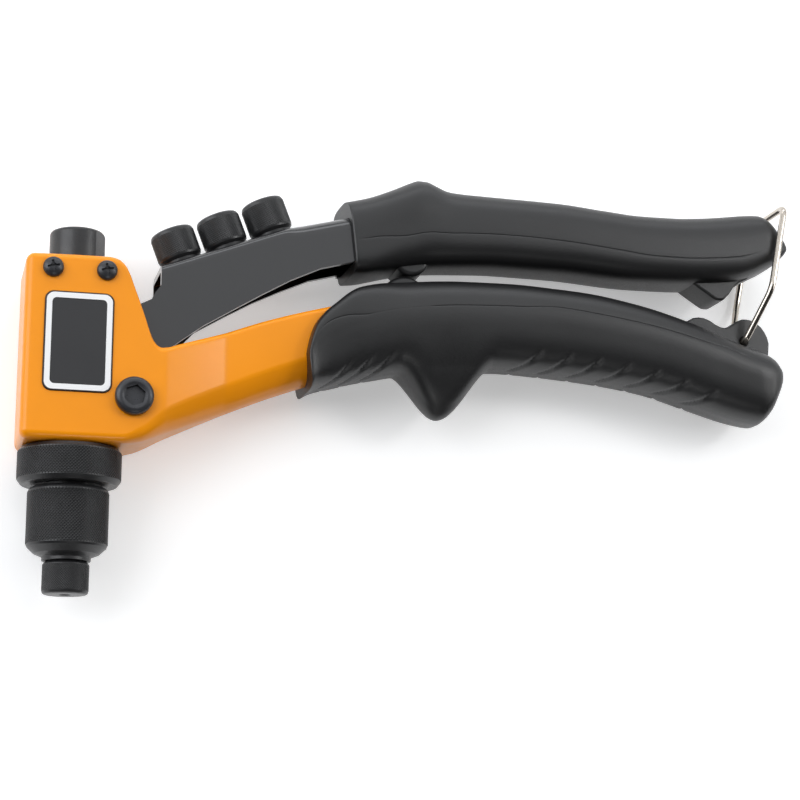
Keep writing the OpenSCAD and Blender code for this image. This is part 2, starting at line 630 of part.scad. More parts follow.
// Jaw case: cone mouth below, bore above, screwed to the pull head
module jaw_case() {
    color([0.5, 0.5, 0.52])
    turned([[mouth_r, case_low], [case_r - 1, case_low], [case_r, case_low + 1], [case_r, case_top],
            [case_bore, case_top], [case_bore, case_low + cone_high]]);
}
module pull_head() {
    color([0.5, 0.5, 0.52])
    difference() {
        turned([[2.4, case_top - 4], [case_bore - play, case_top - 4], [case_bore - play, case_top + 0.05],
                [case_r, case_top + 0.05], [case_r, pull_top - 1], [case_r - 1, pull_top], [2.4, pull_top]]);
        bar_z(0, trunnion_y, 1.8, 4, case_r + 1);
        bar_z(0, trunnion_y, 1.8, -case_r - 1, -4);
    }
}

// Trunnion pins with rollers' diameter outside the pull head
module trunnion(s) {
    mirror([0, 0, s]) {
        bar_z(0, trunnion_y, 1.77, 4.05, case_r + 0.6);
        bar_z(0, trunnion_y, trunnion_r, case_r + 0.1, cheek - 0.1);
    }
}
module trunnion_front() {
    color([0.6, 0.6, 0.62]) trunnion(0);
}
module trunnion_back() {
    color([0.6, 0.6, 0.62]) trunnion(1);
}

// Pusher that keeps the jaws in the cone
module jaw_pusher() {
    color([0.55, 0.55, 0.57])
    turned([[1.9, pusher_low + 0.6], [3.4, pusher_low + 0.2], [case_bore - 0.15, pusher_low + 0.2],
            [case_bore - 0.15, pusher_low + 3], [3.2, pusher_low + 3], [3.2, pusher_top], [1.9, pusher_top]]);
}

// One jaw of the set: a sector of a cone with a toothed mandrel groove
module jaw(k) {
    gap = 0.12 / cos(cone_deg);
    high = cone_high - 0.8;
    low_r = mouth_r - gap - 0.9 * tan(cone_deg);
    rotate([0, -360 * k / jaws, 0])
    rotate([-90, 0, 0]) rotate([0, 0, -55]) rotate_extrude(angle = 110)
        polygon(concat([[1.35, case_low - 0.9], [low_r, case_low - 0.9],
            [low_r + (high + 0.9) * tan(cone_deg), case_low + high], [1.35, case_low + high]],
            [for (t = [9 : -1 : 0]) each [[1.35, case_low + 0.4 + t + 0.6],
                                          [1.6, case_low + 0.4 + t + 0.3]]]));
}
module jaw_1() {
    color([0.35, 0.35, 0.37]) jaw(0);
}
module jaw_2() {
    color([0.35, 0.35, 0.37]) jaw(1);
}
module jaw_3() {
    color([0.35, 0.35, 0.37]) jaw(2);
}

// Springs at the drawn position
module jaw_spring() {
    color([0.7, 0.7, 0.72]) coil(4.4, jaw_wire, pusher_low + 3.05, case_top - 4.05, jaw_turns);
}
module return_spring() {
    color([0.7, 0.7, 0.72]) coil(6, return_wire, pull_top + 0.05, bush_low - 0.05, return_turns);
}

body_casting();
body_grip();
nameplate();
bush_screw_left();
bush_screw_right();
pivot_bolt();
pivot_nut();
outlet_bush();
lock_ring();
nose_sleeve();
nosepiece();
lever_channel();
lever_grip();
pivot_bush();
spare_nosepiece_1();
spare_nosepiece_2();
spare_nosepiece_3();
jaw_case();
pull_head();
trunnion_front();
trunnion_back();
jaw_pusher();
jaw_1();
jaw_2();
jaw_3();
jaw_spring();
return_spring();
lock_clip();
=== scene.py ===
"""Looks of the hand riveter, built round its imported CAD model.

Shapes are in millimetres until a mesh is made.
"""

import math

import bmesh
import bpy
from mathutils import Matrix, Vector


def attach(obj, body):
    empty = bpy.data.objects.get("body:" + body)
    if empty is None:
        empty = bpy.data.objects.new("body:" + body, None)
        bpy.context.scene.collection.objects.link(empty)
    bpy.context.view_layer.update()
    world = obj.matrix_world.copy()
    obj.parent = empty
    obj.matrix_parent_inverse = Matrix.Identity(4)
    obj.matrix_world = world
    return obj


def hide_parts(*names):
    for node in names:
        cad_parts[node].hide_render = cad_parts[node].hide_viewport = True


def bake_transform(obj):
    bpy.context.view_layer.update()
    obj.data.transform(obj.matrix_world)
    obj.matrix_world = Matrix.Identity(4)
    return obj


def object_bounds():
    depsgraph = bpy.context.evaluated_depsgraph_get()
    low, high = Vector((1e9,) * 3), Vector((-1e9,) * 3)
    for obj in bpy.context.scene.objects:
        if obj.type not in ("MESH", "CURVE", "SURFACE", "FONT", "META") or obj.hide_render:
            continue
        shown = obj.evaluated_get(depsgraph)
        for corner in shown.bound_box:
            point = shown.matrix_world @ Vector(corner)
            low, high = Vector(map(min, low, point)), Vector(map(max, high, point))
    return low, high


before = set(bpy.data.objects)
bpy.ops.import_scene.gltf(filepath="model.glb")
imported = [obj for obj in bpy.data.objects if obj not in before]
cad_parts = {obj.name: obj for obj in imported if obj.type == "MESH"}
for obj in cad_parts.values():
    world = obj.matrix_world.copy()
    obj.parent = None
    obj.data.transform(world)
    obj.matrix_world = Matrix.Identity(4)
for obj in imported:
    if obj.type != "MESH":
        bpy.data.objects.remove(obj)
cad_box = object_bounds()

MM = 0.001

# Main places of the tool, as in the part's source
HEAD_LOW = 44.3
HEAD_TOP = HEAD_LOW + 56.8
HALF = 14.0  # half the head's thickness
PIVOT = (17.2, HEAD_LOW + 14)
CHEEK = 10.4  # half the lever's width
SHEET = 2.0
SEAT = 0.1  # gap round a seated part
WEB_DEG = 21.0
WEB_TAN = math.tan(math.radians(WEB_DEG))
WEB_START = (24.9, HEAD_TOP)
KNEE_X = 65.2
WEB_KNEE = (KNEE_X, WEB_START[1] + (KNEE_X - WEB_START[0]) * WEB_TAN)
CLIP_PIVOT = (220.5, HEAD_LOW + 45.9)
CLIP_SWING = 22.0
LUG_THICK = 8.0


# Curves and meshes

def rise(table, i):
    """Slope of a table's run i."""
    return (table[i + 1][1] - table[i][1]) / (table[i + 1][0] - table[i][0])


def lean(table, i):
    """Slope of the smooth curve at station i: the harmonic mean of both runs, level at a turn."""
    if i == 0:
        return rise(table, 0)
    if i == len(table) - 1:
        return rise(table, i - 1)
    a, b = rise(table, i - 1), rise(table, i)
    return 0.0 if a * b <= 0 else 2 * a * b / (a + b)


def run_of(x, table):
    """Number of the run that x lies in."""
    i = 0
    while i < len(table) - 2 and table[i + 1][0] <= x:
        i += 1
    return i


def curve(x, table):
    """Smooth curve through a table of stations, with no overshoot."""
    i = run_of(x, table)
    h = table[i + 1][0] - table[i][0]
    u = min(1.0, max(0.0, (x - table[i][0]) / h))
    v = 1 - u
    return (table[i][1] * (1 + 2 * u) * v * v + lean(table, i) * h * u * v * v
            + table[i + 1][1] * u * u * (3 - 2 * u) - lean(table, i + 1) * h * u * u * v)


def line(x, table):
    """Straight runs between stations, the end runs going on."""
    i = run_of(x, table)
    return table[i][1] + rise(table, i) * (x - table[i][0])


def smooth(t):
    """Soft step from 0 to 1."""
    t = min(1.0, max(0.0, t))
    return t * t * (3 - 2 * t)


def between(x, start, run_in, end, run_out):
    """1 from start to end, fading over both runs."""
    return smooth((x - start) / run_in) * smooth((end - x) / run_out)


def spread(stations, step):
    """Stations with points between them, no further apart than step."""
    out = []
    for a, b in zip(stations, stations[1:]):
        n = max(1, math.ceil((b - a) / step - 1e-6))
        out += [a + (b - a) * k / n for k in range(n)]
    return out + [stations[-1]]


def piece(name, points, faces):
    """Object from points in millimetres, its faces turned outward."""
    mesh = bpy.data.meshes.new(name)
    mesh.from_pydata([[c * MM for c in p] for p in points], [], faces)
    bm = bmesh.new()
    bm.from_mesh(mesh)
    bmesh.ops.recalc_face_normals(bm, faces=bm.faces)
    bm.to_mesh(mesh)
    bm.free()
    ob = bpy.data.objects.new(name, mesh)
    bpy.context.scene.collection.objects.link(ob)
    return ob


def loft(name, sections):
    """Skin over closed sections with equal counts, capped at both ends."""
    n, m = len(sections[0]), len(sections)
    points = [p for s in sections for p in s]
    faces = [tuple(range(n)), tuple(range((m - 1) * n, m * n))]
    for i in range(m - 1):
        for j in range(n):
            k = (j + 1) % n
            faces.append((i * n + j, i * n + k, (i + 1) * n + k, (i + 1) * n + j))
    return piece(name, points, faces)


RIM_STEPS = 4
SAME_LEVEL = 1e-7


def prism(name, outline, low, high, round_rim=0.0):
    """Slab of an outline in the XY plane, its rims rounded where asked."""
    n = len(outline)
    points = [(x, y, z) for z in (low, high) for x, y in outline]
    faces = [tuple(range(n)), tuple(range(n, 2 * n))]
    faces += [(j, (j + 1) % n, n + (j + 1) % n, n + j) for j in range(n)]
    ob = piece(name, points, faces)
    if round_rim:
        bm = bmesh.new()
        bm.from_mesh(ob.data)
        rims = [e for e in bm.edges if abs(e.verts[0].co.z - e.verts[1].co.z) < SAME_LEVEL]
        bmesh.ops.bevel(bm, geom=rims, offset=round_rim * MM, segments=RIM_STEPS, profile=0.5,
                        affect="EDGES", clamp_overlap=True)
        bm.to_mesh(ob.data)
        bm.free()
    return ob


def disc(x, y, r, count):
    """Round outline for a slab."""
    turns = [2 * math.pi * k / count for k in range(count)]
    return [(x + r * math.cos(a), y + r * math.sin(a)) for a in turns]


def turned_about(middle, turn, outline):
    """Outline turned about the origin and moved to a middle."""
    c, s = math.cos(turn), math.sin(turn)
    return [(middle[0] + c * a - s * b, middle[1] + s * a + c * b) for a, b in outline]


# Stands a turned form's axis up along y
UP_Y = Matrix(((1, 0, 0, 0), (0, 0, 1, 0), (0, -1, 0, 0), (0, 0, 0, 1)))


def lathe(name, rows, columns, place=UP_Y, closed=True):
    """Turned form. rows are (radius, height); a row of (radius, height, pitch, depth) starts a knurled band
    that ends at the next row. Its local axis is z, and place puts it in the frame."""
    rings = []
    for k, row in enumerate(rows):
        radius, height = row[:2]
        rings.append(([radius] * columns if radius > 0 else None, height, False))
        if len(row) > 2:
            pitch, depth = row[2:]
            climb = rows[(k + 1) % len(rows)][1] - height
            steps = max(2, 2 * round(climb / pitch))
            for j in range(1, steps):
                knurl = [radius + depth if (i + j) % 2 else radius for i in range(columns)]
                rings.append((knurl, height + climb * j / steps, True))
    points, starts = [], []
    for radii, h, _ in rings:
        starts.append(len(points))
        if radii is None:
            points.append((0.0, 0.0, h))
        else:
            for i, r in enumerate(radii):
                a = 2 * math.pi * i / columns
                points.append((r * math.cos(a), r * math.sin(a), h))
    faces = []
    count = len(rings)
    for k in range(count if closed else count - 1):
        a, b = rings[k], rings[(k + 1) % count]
        sa, sb = starts[k], starts[(k + 1) % count]
        if a[0] is None and b[0] is None:
            continue
        for i in range(columns):
            j = (i + 1) % columns
            if a[0] is None:
                faces.append((sa, sb + j, sb + i))
            elif b[0] is None:
                faces.append((sa + i, sa + j, sb))
            elif a[2] or b[2]:
                quad = (sa + i, sa + j, sb + j, sb + i)
                deep = [a[0][i], a[0][j], b[0][j], b[0][i]]
                if deep[0] + deep[2] <= deep[1] + deep[3]:
                    faces += [(quad[0], quad[1], quad[2]), (quad[0], quad[2], quad[3])]
                else:
                    faces += [(quad[1], quad[2], quad[3]), (quad[1], quad[3], quad[0])]
            else:
                faces.append((sa + i, sa + j, sb + j, sb + i))
    moved = [tuple(place @ Vector(p)) for p in points]
    return piece(name, moved, faces)


def along_z(x, y, z=0.0):
    return Matrix.Translation((x, y, z))


def rod(name, r, low, high, columns, place=UP_Y):
    return lathe(name, [(0, low), (r, low), (r, high), (0, high)], columns, place, closed=False)


def bar(name, x, y, r, low, high, columns=64):
    return rod(name, r, low, high, columns, along_z(x, y))


def six_sided(name, x, y, r, low, high, turn=0.0):
    turns = [math.pi / 3 * k + turn for k in range(6)]
    return prism(name, [(x + r * math.cos(a), y + r * math.sin(a)) for a in turns], low, high)


def settle(ob):
    """Turns the modifiers into mesh."""
    deps = bpy.context.evaluated_depsgraph_get()
    mesh = bpy.data.meshes.new_from_object(ob.evaluated_get(deps))
    old = ob.data
    ob.modifiers.clear()
    ob.data = mesh
    bpy.data.meshes.remove(old)
    return ob


def carve(ob, tool, how="DIFFERENCE"):
    """Takes a tool from a piece, adds it or keeps what both share. The tool is used up."""
    mod = ob.modifiers.new("carve", "BOOLEAN")
    mod.operation = how
    mod.solver = "EXACT"
    mod.object = tool
    settle(ob)
    bpy.data.objects.remove(tool, do_unlink=True)
    return ob


CAP_LONG = 0.45
CAP_TURNS = (0.7, 1.15)


def tube(name, route, radius, sides):
    """Wire swept along a route of points, carried without twist, with rounded ends."""
    route = [Vector(p) for p in route]
    count = len(route)
    heads = []
    for i in range(count):
        heads.append((route[min(i + 1, count - 1)] - route[max(i - 1, 0)]).normalized())
    side = heads[0].orthogonal().normalized()
    rings = []
    for i in range(count):
        side = (side - side.dot(heads[i]) * heads[i]).normalized()
        rings.append((route[i], side.copy(), heads[i].cross(side), 1.0))

    def cap(ring, out, t):
        return (ring[0] + out * radius * CAP_LONG * math.sin(t), ring[1], ring[2], math.cos(t))

    first = [cap(rings[0], -heads[0], t) for t in CAP_TURNS[::-1]]
    last = [cap(rings[-1], heads[-1], t) for t in CAP_TURNS]
    turns = [2 * math.pi * j / sides for j in range(sides)]
    sections = []
    for middle, s, u, k in first + rings + last:
        sections.append([tuple(middle + radius * k * (math.cos(a) * s + math.sin(a) * u)) for a in turns])
    return loft(name, sections)


NORMAL_WEIGHT = 60


def dress(ob, body, nodes, mats, angle=32.0, weighted=True):
    """Material, shading, body and replaced nodes of one piece."""
    if not isinstance(mats, (list, tuple)):
        mats = [mats]
    keep = [p.material_index for p in ob.data.polygons]
    ob.data.materials.clear()
    for m in mats:
        ob.data.materials.append(m)
    for p, k in zip(ob.data.polygons, keep):
        p.material_index = min(k, len(mats) - 1)
        p.use_smooth = True
    ob.data.set_sharp_from_angle(angle=math.radians(angle))
    if weighted:
        mod = ob.modifiers.new("weighted", "WEIGHTED_NORMAL")
        mod.keep_sharp = True
        mod.weight = NORMAL_WEIGHT
    if body:
        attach(ob, body)
    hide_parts(*nodes)
    return ob


# Materials

def srgb(r, g, b):
    """Linear colour of an sRGB one."""
    def one(c):
        c /= 255
        return c / 12.92 if c <= 0.04045 else ((c + 0.055) / 1.055) ** 2.4
    return (one(r), one(g), one(b), 1.0)


def mixed(color, k):
    """Lighter or darker colour."""
    return tuple(min(1.0, c * k) for c in color[:3]) + (1.0,)


# Most of a noise texture's values lie between these
NOISE_LOW, NOISE_HIGH = 0.3, 0.7


def material(name, color, rough, metal=0.0, coat=0.0, coat_rough=0.06, specular=0.5, tone=0.12,
             tone_scale=60.0, grain=900.0, bump=0.02, rough_swing=0.06):
    """Principled surface with a slow change of tone and a fine grain in its bump and roughness."""
    mat = bpy.data.materials.new(name)
    mat.use_nodes = True
    tree = mat.node_tree
    nodes, links = tree.nodes, tree.links
    bsdf = nodes["Principled BSDF"]
    bsdf.inputs["Metallic"].default_value = metal
    bsdf.inputs["Specular IOR Level"].default_value = specular
    bsdf.inputs["Coat Weight"].default_value = coat
    bsdf.inputs["Coat Roughness"].default_value = coat_rough
    place = nodes.new("ShaderNodeTexCoord")
    slow = nodes.new("ShaderNodeTexNoise")
    slow.inputs["Scale"].default_value = tone_scale
    slow.inputs["Detail"].default_value = 5.0
    slow.inputs["Roughness"].default_value = 0.55
    links.new(place.outputs["Object"], slow.inputs["Vector"])
    ramp = nodes.new("ShaderNodeValToRGB")
    ramp.color_ramp.elements[0].position = NOISE_LOW
    ramp.color_ramp.elements[0].color = mixed(color, 1 - tone)
    ramp.color_ramp.elements[1].position = NOISE_HIGH
    ramp.color_ramp.elements[1].color = mixed(color, 1 + tone)
    links.new(slow.outputs["Fac"], ramp.inputs["Fac"])
    links.new(ramp.outputs["Color"], bsdf.inputs["Base Color"])
    fine = nodes.new("ShaderNodeTexNoise")
    fine.inputs["Scale"].default_value = grain
    fine.inputs["Detail"].default_value = 3.0
    links.new(place.outputs["Object"], fine.inputs["Vector"])
    span = nodes.new("ShaderNodeMapRange")
    span.inputs["From Min"].default_value = NOISE_LOW
    span.inputs["From Max"].default_value = NOISE_HIGH
    span.inputs["To Min"].default_value = max(0.02, rough - rough_swing)
    span.inputs["To Max"].default_value = min(1.0, rough + rough_swing)
    links.new(fine.outputs["Fac"], span.inputs["Value"])
    links.new(span.outputs["Result"], bsdf.inputs["Roughness"])
    push = nodes.new("ShaderNodeBump")
    push.inputs["Strength"].default_value = 1.0
    push.inputs["Distance"].default_value = bump * MM
    links.new(fine.outputs["Fac"], push.inputs["Height"])
    links.new(push.outputs["Normal"], bsdf.inputs["Normal"])
    return mat


ORANGE = material("orange_enamel", srgb(252, 153, 8), 0.36, coat=0.25, coat_rough=0.12, specular=0.25,
                  tone=0.03, tone_scale=40, grain=420, bump=0.004, rough_swing=0.04)
RUBBER = material("grip_rubber", (0.0085, 0.0085, 0.0091, 1), 0.42, specular=0.62, tone=0.12, tone_scale=45,
                  grain=2600, bump=0.020, rough_swing=0.06)
ENAMEL = material("black_enamel", (0.013, 0.013, 0.0145, 1), 0.22, specular=0.5, coat=0.6, coat_rough=0.08,
                  tone=0.05, grain=1600, bump=0.001, rough_swing=0.02)
PHOSPHATE = material("black_phosphate", (0.021, 0.021, 0.022, 1), 0.36, specular=0.6, metal=0.25, tone=0.18,
                     tone_scale=300, grain=3200, bump=0.020, rough_swing=0.10)
OXIDE = material("black_oxide", (0.045, 0.046, 0.051, 1), 0.34, metal=0.4, tone=0.15, tone_scale=250,
                 grain=2200, bump=0.010, rough_swing=0.08)
PLATE = material("plate_field", (0.025, 0.025, 0.027, 1), 0.42, tone=0.06, grain=1500, bump=0.006)
BORDER = material("plate_border", (0.93, 0.93, 0.93, 1), 0.40, tone=0.02, grain=1500, bump=0.004)
WIRE = material("bright_wire", (0.57, 0.52, 0.46, 1), 0.18, metal=1.0, tone=0.06, tone_scale=200, grain=1800,
                bump=0.006)
STEEL = material("plain_steel", (0.45, 0.45, 0.46, 1), 0.34, metal=1.0, tone=0.10, tone_scale=200,
                 grain=1500, bump=0.010)
SPRING = material("spring_wire", (0.50, 0.50, 0.52, 1), 0.30, metal=1.0, tone=0.08, tone_scale=200,
                  grain=1500, bump=0.006)
BRONZE = material("bronze", (0.55, 0.36, 0.14, 1), 0.36, metal=1.0, tone=0.12, tone_scale=220, grain=1500,
                  bump=0.010)


# Orange casting: heights over the head's underside at stations along x

CAST_LOW = [(-16, 0), (14, 0), (19, 0.8), (29, 5.2), (46, 12.5), (60, 18.4), (73, 23.3), (84, 27.5)]
CAST_HIGH = [(-16, 56.8), (9, 57.2), (12, 56.4), (14.2, 54.1), (16.5, 48.6), (20.1, 38.9), (22, 33.4),
             (23.6, 30.8), (25.2, 29.9), (27, 30.1), (30.2, 31.3), (44, 36.3), (57, 41.2), (66, 44.1),
             (75.5, 46.8), (84, 49)]
CAST_SOFT = [(-16, 2.6), (14, 2.6), (20, 4.5), (28, 7.5), (46, 8.6), (84, 8.6)]
CAST_ROUND = 2.6
TOP_ROUND = CAST_ROUND * 0.75
LEAST_FLAT = 0.2
CORNER_STEPS = 9
ARM_HALF = 9.0
ARM_CREASE, CREASE_FROM, CREASE_RUN = 0.30, 20, 10
RAMP_FROM, RAMP_LONG, RAMP_SOFT = 26.5, 19.5, 0.045
CAST_X = [-16, -15.93, -15.75, -15.45, -15.1, -14.65, -14.2, -13.3, -4, 5, 8, 9, 10.5, 12, 13.2, 14.2, 15.4,
          16.5, 18.3, 20.1, 21, 22, 22.8, 23.6, 24.4, 25.2, 25.8, 26.2, 26.5, 26.8, 27.2, 27.8, 28.5, 30.2,
          33, 36, 39, 41, 43, 44.7, 45.3, 45.7, 46, 46.3, 46.7, 47.3, 49, 51.5, 57, 66, 75.5, 84]
CAST_STEP = 4.0


def cast_deep(x):
    """Half thickness: the head's face ramps down to the arm's, with softened ends."""
    u = (x - RAMP_FROM) / RAMP_LONG
    s = RAMP_SOFT
    if u <= -s or u >= 1 + s:
        k = 0.0 if u < 0.5 else 1.0
    elif u < s:
        k = (u + s) ** 2 / (4 * s)
    elif u > 1 - s:
        k = 1 - (1 + s - u) ** 2 / (4 * s)
    else:
        k = u
    return HALF - (HALF - ARM_HALF) * k


def corner_arc(x, y, z, r, start, steps):
    """Quarter round in the section at x."""
    return [(x, y + r * math.sin(a), z + r * math.cos(a))
            for a in (math.radians(start + 90 * k / steps) for k in range(steps + 1))]


def rolled_edge(x, low, deep, r, crease, steps):
    """Lower front edge from the face round to the under side; crease is how steeply it leaves the face."""
    if crease == 0:
        return corner_arc(x, low + r, deep - r, r, 270, steps)[::-1]
    start, turn, end = (deep, low + r), (deep - crease * r, low), (deep - r, low)
    out = []
    for k in range(steps + 1):
        t = k / steps
        a, b, c = (1 - t) ** 2, 2 * t * (1 - t), t * t
        out.append((x, a * start[1] + b * turn[1] + c * end[1], a * start[0] + b * turn[0] + c * end[0]))
    return out


def cast_section(x, extra=0.0):
    """Section of the casting at x, e smaller all round where the left end rounds off."""
    d = x - CAST_X[0]
    e = CAST_ROUND - math.sqrt(max(0.0, CAST_ROUND ** 2 - (CAST_ROUND - d) ** 2)) if d < CAST_ROUND else 0.0
    low = HEAD_LOW + curve(x, CAST_LOW) + e - extra
    high = HEAD_LOW + curve(x, CAST_HIGH) - e + extra
    deep = cast_deep(x) - e + extra
    r_low = min(curve(x, CAST_SOFT), cast_deep(x) - LEAST_FLAT) - e * 0.6 + extra
    r_high = TOP_ROUND - e * 0.5 + extra
    crease = ARM_CREASE * smooth((x - CREASE_FROM) / CREASE_RUN)
    roll = rolled_edge(x, low, deep, r_low, crease, CORNER_STEPS)
    return (corner_arc(x, high - r_high, deep - r_high, r_high, 0, CORNER_STEPS)
            + corner_arc(x, high - r_high, r_high - deep, r_high, 90, CORNER_STEPS)
            + [(p[0], p[1], -p[2]) for p in roll] + roll[::-1])


TANG_MID = [(74, 35), (90, 40.6), (115, 43.6), (140, 44.6), (165, 42.6), (185, 39.4), (205, 33.6)]
TANG_HALF = 6


def tang_outline(extra):
    """Core of the arm inside the lower grip, extra larger all round."""
    def side(up):
        return [(x + (extra if x == TANG_MID[-1][0] else 0), HEAD_LOW + y + up * (TANG_HALF + extra))
                for x, y in TANG_MID]
    return side(1) + side(-1)[::-1]


PLATE_AT = (0.2, HEAD_LOW + 29.8)
PLATE_W, PLATE_H, PLATE_R = 10.2, 15.2, 2.6
PLATE_GAP = 0.15
PLATE_STEPS = 8


def rounded_plate(x, y, w, h, r):
    out = []
    for k in range(4):
        cx = x + (1 if k in (0, 3) else -1) * (w - r)
        cy = y + (1 if k < 2 else -1) * (h - r)
        turns = [math.radians(90 * k + 90 * j / PLATE_STEPS) for j in range(PLATE_STEPS + 1)]
        out += [(cx + r * math.cos(a), cy + r * math.sin(a)) for a in turns]
    return out


ROOF_LOW = HEAD_TOP - 8.3
NECK_TOP = HEAD_LOW + 5.6
NECK_R = 9.98
BUSH_SEAT_R = 7.48
BOSS_ROOM_R = 10.3
BOLT_HOLE_R = 4.05
SCREW_X, SCREW_Y = 8.0, HEAD_TOP - 4.5
SCREW_HOLE_R = 1.55
LEVER_GAP = 0.4


def build_casting():
    ob = loft("casting", [cast_section(x) for x in spread(CAST_X, CAST_STEP)])
    carve(ob, prism("tang", tang_outline(0.0), -TANG_HALF, TANG_HALF), "UNION")
    wide = CHEEK + LEVER_GAP
    hollow = [(-9.6, NECK_TOP + 0.3), (-9.6, ROOF_LOW), (12.2, ROOF_LOW), (13.4, ROOF_LOW + 2.6),
              (45, ROOF_LOW + 2.6), (28.4, HEAD_LOW + 33), (28.4, PIVOT[1]), (PIVOT[0], PIVOT[1] - 9.5),
              (11, NECK_TOP + 0.3)]
    carve(ob, prism("hollow", hollow, -wide, wide))
    carve(ob, bar("boss_room", *PIVOT, BOSS_ROOM_R, -wide, wide))
    carve(ob, rod("neck", NECK_R, HEAD_LOW - 1, NECK_TOP + 1, 96))
    carve(ob, rod("bush_seat", BUSH_SEAT_R, ROOF_LOW - 1, HEAD_TOP + 2, 96))
    carve(ob, bar("pivot_hole", *PIVOT, BOLT_HOLE_R, -HALF - 1, HALF + 1))
    for x in (-SCREW_X, SCREW_X):
        carve(ob, bar("screw_hole", x, SCREW_Y, SCREW_HOLE_R, -9, HALF + 1, 32))
    bed = rounded_plate(*PLATE_AT, PLATE_W + PLATE_GAP, PLATE_H + PLATE_GAP, PLATE_R + PLATE_GAP)
    carve(ob, prism("bed", bed, HALF - 0.5, HALF + 2))
    return dress(ob, "frame", ["body_casting"], ORANGE, angle=28)


# Nameplate: bare field, pale border, dark rim

BORDER_LOOP = 3


def build_nameplate():
    low, top = HALF - 0.45, HALF + 0.55
    loops = [(0.0, low), (0.0, top - 0.25), (0.15, top - 0.05), (0.4, top), (2.05, top), (2.2, top - 0.12)]
    points, faces, mats = [], [], []
    for inset, z in loops:
        ring = rounded_plate(*PLATE_AT, PLATE_W - inset, PLATE_H - inset, max(0.6, PLATE_R - inset * 0.6))
        points += [(x, y, z) for x, y in ring]
    n = len(points) // len(loops)
    for k in range(len(loops) - 1):
        for j in range(n):
            i = (j + 1) % n
            faces.append((k * n + j, k * n + i, (k + 1) * n + i, (k + 1) * n + j))
            mats.append(1 if k == BORDER_LOOP else 0)
    faces += [tuple(range(n)), tuple(range((len(loops) - 1) * n, len(loops) * n))]
    mats += [0, 0]
    ob = piece("nameplate_bare", points, faces)
    for p, m in zip(ob.data.polygons, mats):
        p.material_index = m
    return dress(ob, "frame", ["nameplate"], [PLATE, BORDER], angle=30)


# Screws, bolt and nut

CROSS = [(-1.85, -0.36), (1.85, -0.36), (1.85, 0.36), (-1.85, 0.36)]
CROSS_TURN = 0.2
CROSS_FLOOR = HALF + 1.15


def build_screw(x, node):
    place = along_z(x, SCREW_Y, HALF)
    dome = [(3.1 * math.cos(a), 0.6 + 1.6 * math.sin(a)) for a in (math.radians(10 * k) for k in range(9))]
    rows = [(0, -20), (1.1, -20), (1.5, -19.6), (1.5, 0.05), (2.9, 0.05), (3.1, 0.25)] + dome + [(0, 2.2)]
    ob = lathe("pan_" + node, rows, 48, place, closed=False)
    for turn in (CROSS_TURN, CROSS_TURN + math.pi / 2):
        carve(ob, prism("cross", turned_about((x, SCREW_Y), turn, CROSS), CROSS_FLOOR, HALF + 4))
    pit = [(0, 0.9), (0.55, 1.0), (1.05, 2.6), (0, 2.6)]
    carve(ob, lathe("cross_pit", pit, 24, place, closed=False))
    return dress(ob, "frame", [node], OXIDE, angle=30)


def build_bolt():
    r = 5.8
    rows = [(0, -HALF - 1.8), (3.6, -HALF - 1.8), (4.0, -HALF - 1.4), (4.0, HALF + 0.05),
            (r - 0.15, HALF + 0.05), (r, HALF + 0.2), (r, HALF + 1.65), (r - 0.12, HALF + 2.0),
            (r - 0.4, HALF + 2.35), (r - 0.85, HALF + 2.65), (r - 1.4, HALF + 2.85), (3.75, HALF + 2.85),
            (3.3, HALF + 2.6), (0, HALF + 2.6)]
    ob = lathe("pivot_screw", rows, 96, along_z(*PIVOT), closed=False)
    carve(ob, six_sided("socket", *PIVOT, 3.3, HALF + 1.2, HALF + 5, turn=0.35))
    return dress(ob, "frame", ["pivot_bolt"], OXIDE, angle=30)


def build_nut():
    ob = six_sided("hex_nut", *PIVOT, 6.4, -HALF - 2.2, -HALF - 0.05)
    crown = [(0, -HALF - 2.2), (5.45, -HALF - 2.2), (6.4, -HALF - 1.65), (6.6, -HALF + 0.5),
             (0, -HALF + 0.5)]
    carve(ob, lathe("crown", crown, 96, along_z(*PIVOT), closed=False), "INTERSECT")
    carve(ob, bar("nut_hole", *PIVOT, BOLT_HOLE_R, -HALF - 4, -HALF + 1))
    return dress(ob, "frame", ["pivot_nut"], OXIDE, angle=25)


# Turned parts of the nose and the outlet

KNURL_PITCH = 1.0
KNURL_DEPTH = 0.20
FINE_PITCH = 0.75
FINE_DEPTH = 0.12
NOSE_R = 7.0
SHANK_R = 4.5
SHANK_HOLE_R = 4.58
SHANK_TOP = 15.5
FLAT_DEG = -28


def even_columns(radius, pitch=KNURL_PITCH):
    """Columns of a knurled form: two for each tooth."""
    return 2 * round(2 * math.pi * radius / pitch)


def build_outlet():
    r, low, top = 8.45, ROOF_LOW - 2.4, HEAD_TOP + 10.7
    rows = [(3.5, low), (7.1, low), (7.4, low + 0.3), (7.4, SCREW_Y - 1.7), (6.2, SCREW_Y - 1.7),
            (6.2, SCREW_Y + 1.7), (7.4, SCREW_Y + 1.7), (7.4, HEAD_TOP + 0.4), (r - 0.2, HEAD_TOP + 0.4),
            (r, HEAD_TOP + 0.6), (r, top - 1.2), (r - 0.12, top - 0.72), (r - 0.45, top - 0.28),
            (r - 1.0, top), (4.5, top), (3.9, top - 0.3), (3.5, top - 1)]
    ob = lathe("outlet", rows, 128)
    foot, over = HEAD_TOP + 1.7, HEAD_TOP + 16.3
    for s in (-1, 1):
        left, right = sorted((s * (r - 0.8), s * (r + 9)))
        block = prism("flat", [(left, foot), (right, foot), (right, over), (left, over)], -15, 15)
        block.data.transform(Matrix.Rotation(math.radians(FLAT_DEG), 4, "Y"))
        carve(ob, block)
    return dress(ob, "frame", ["outlet_bush"], PHOSPHATE, angle=28)


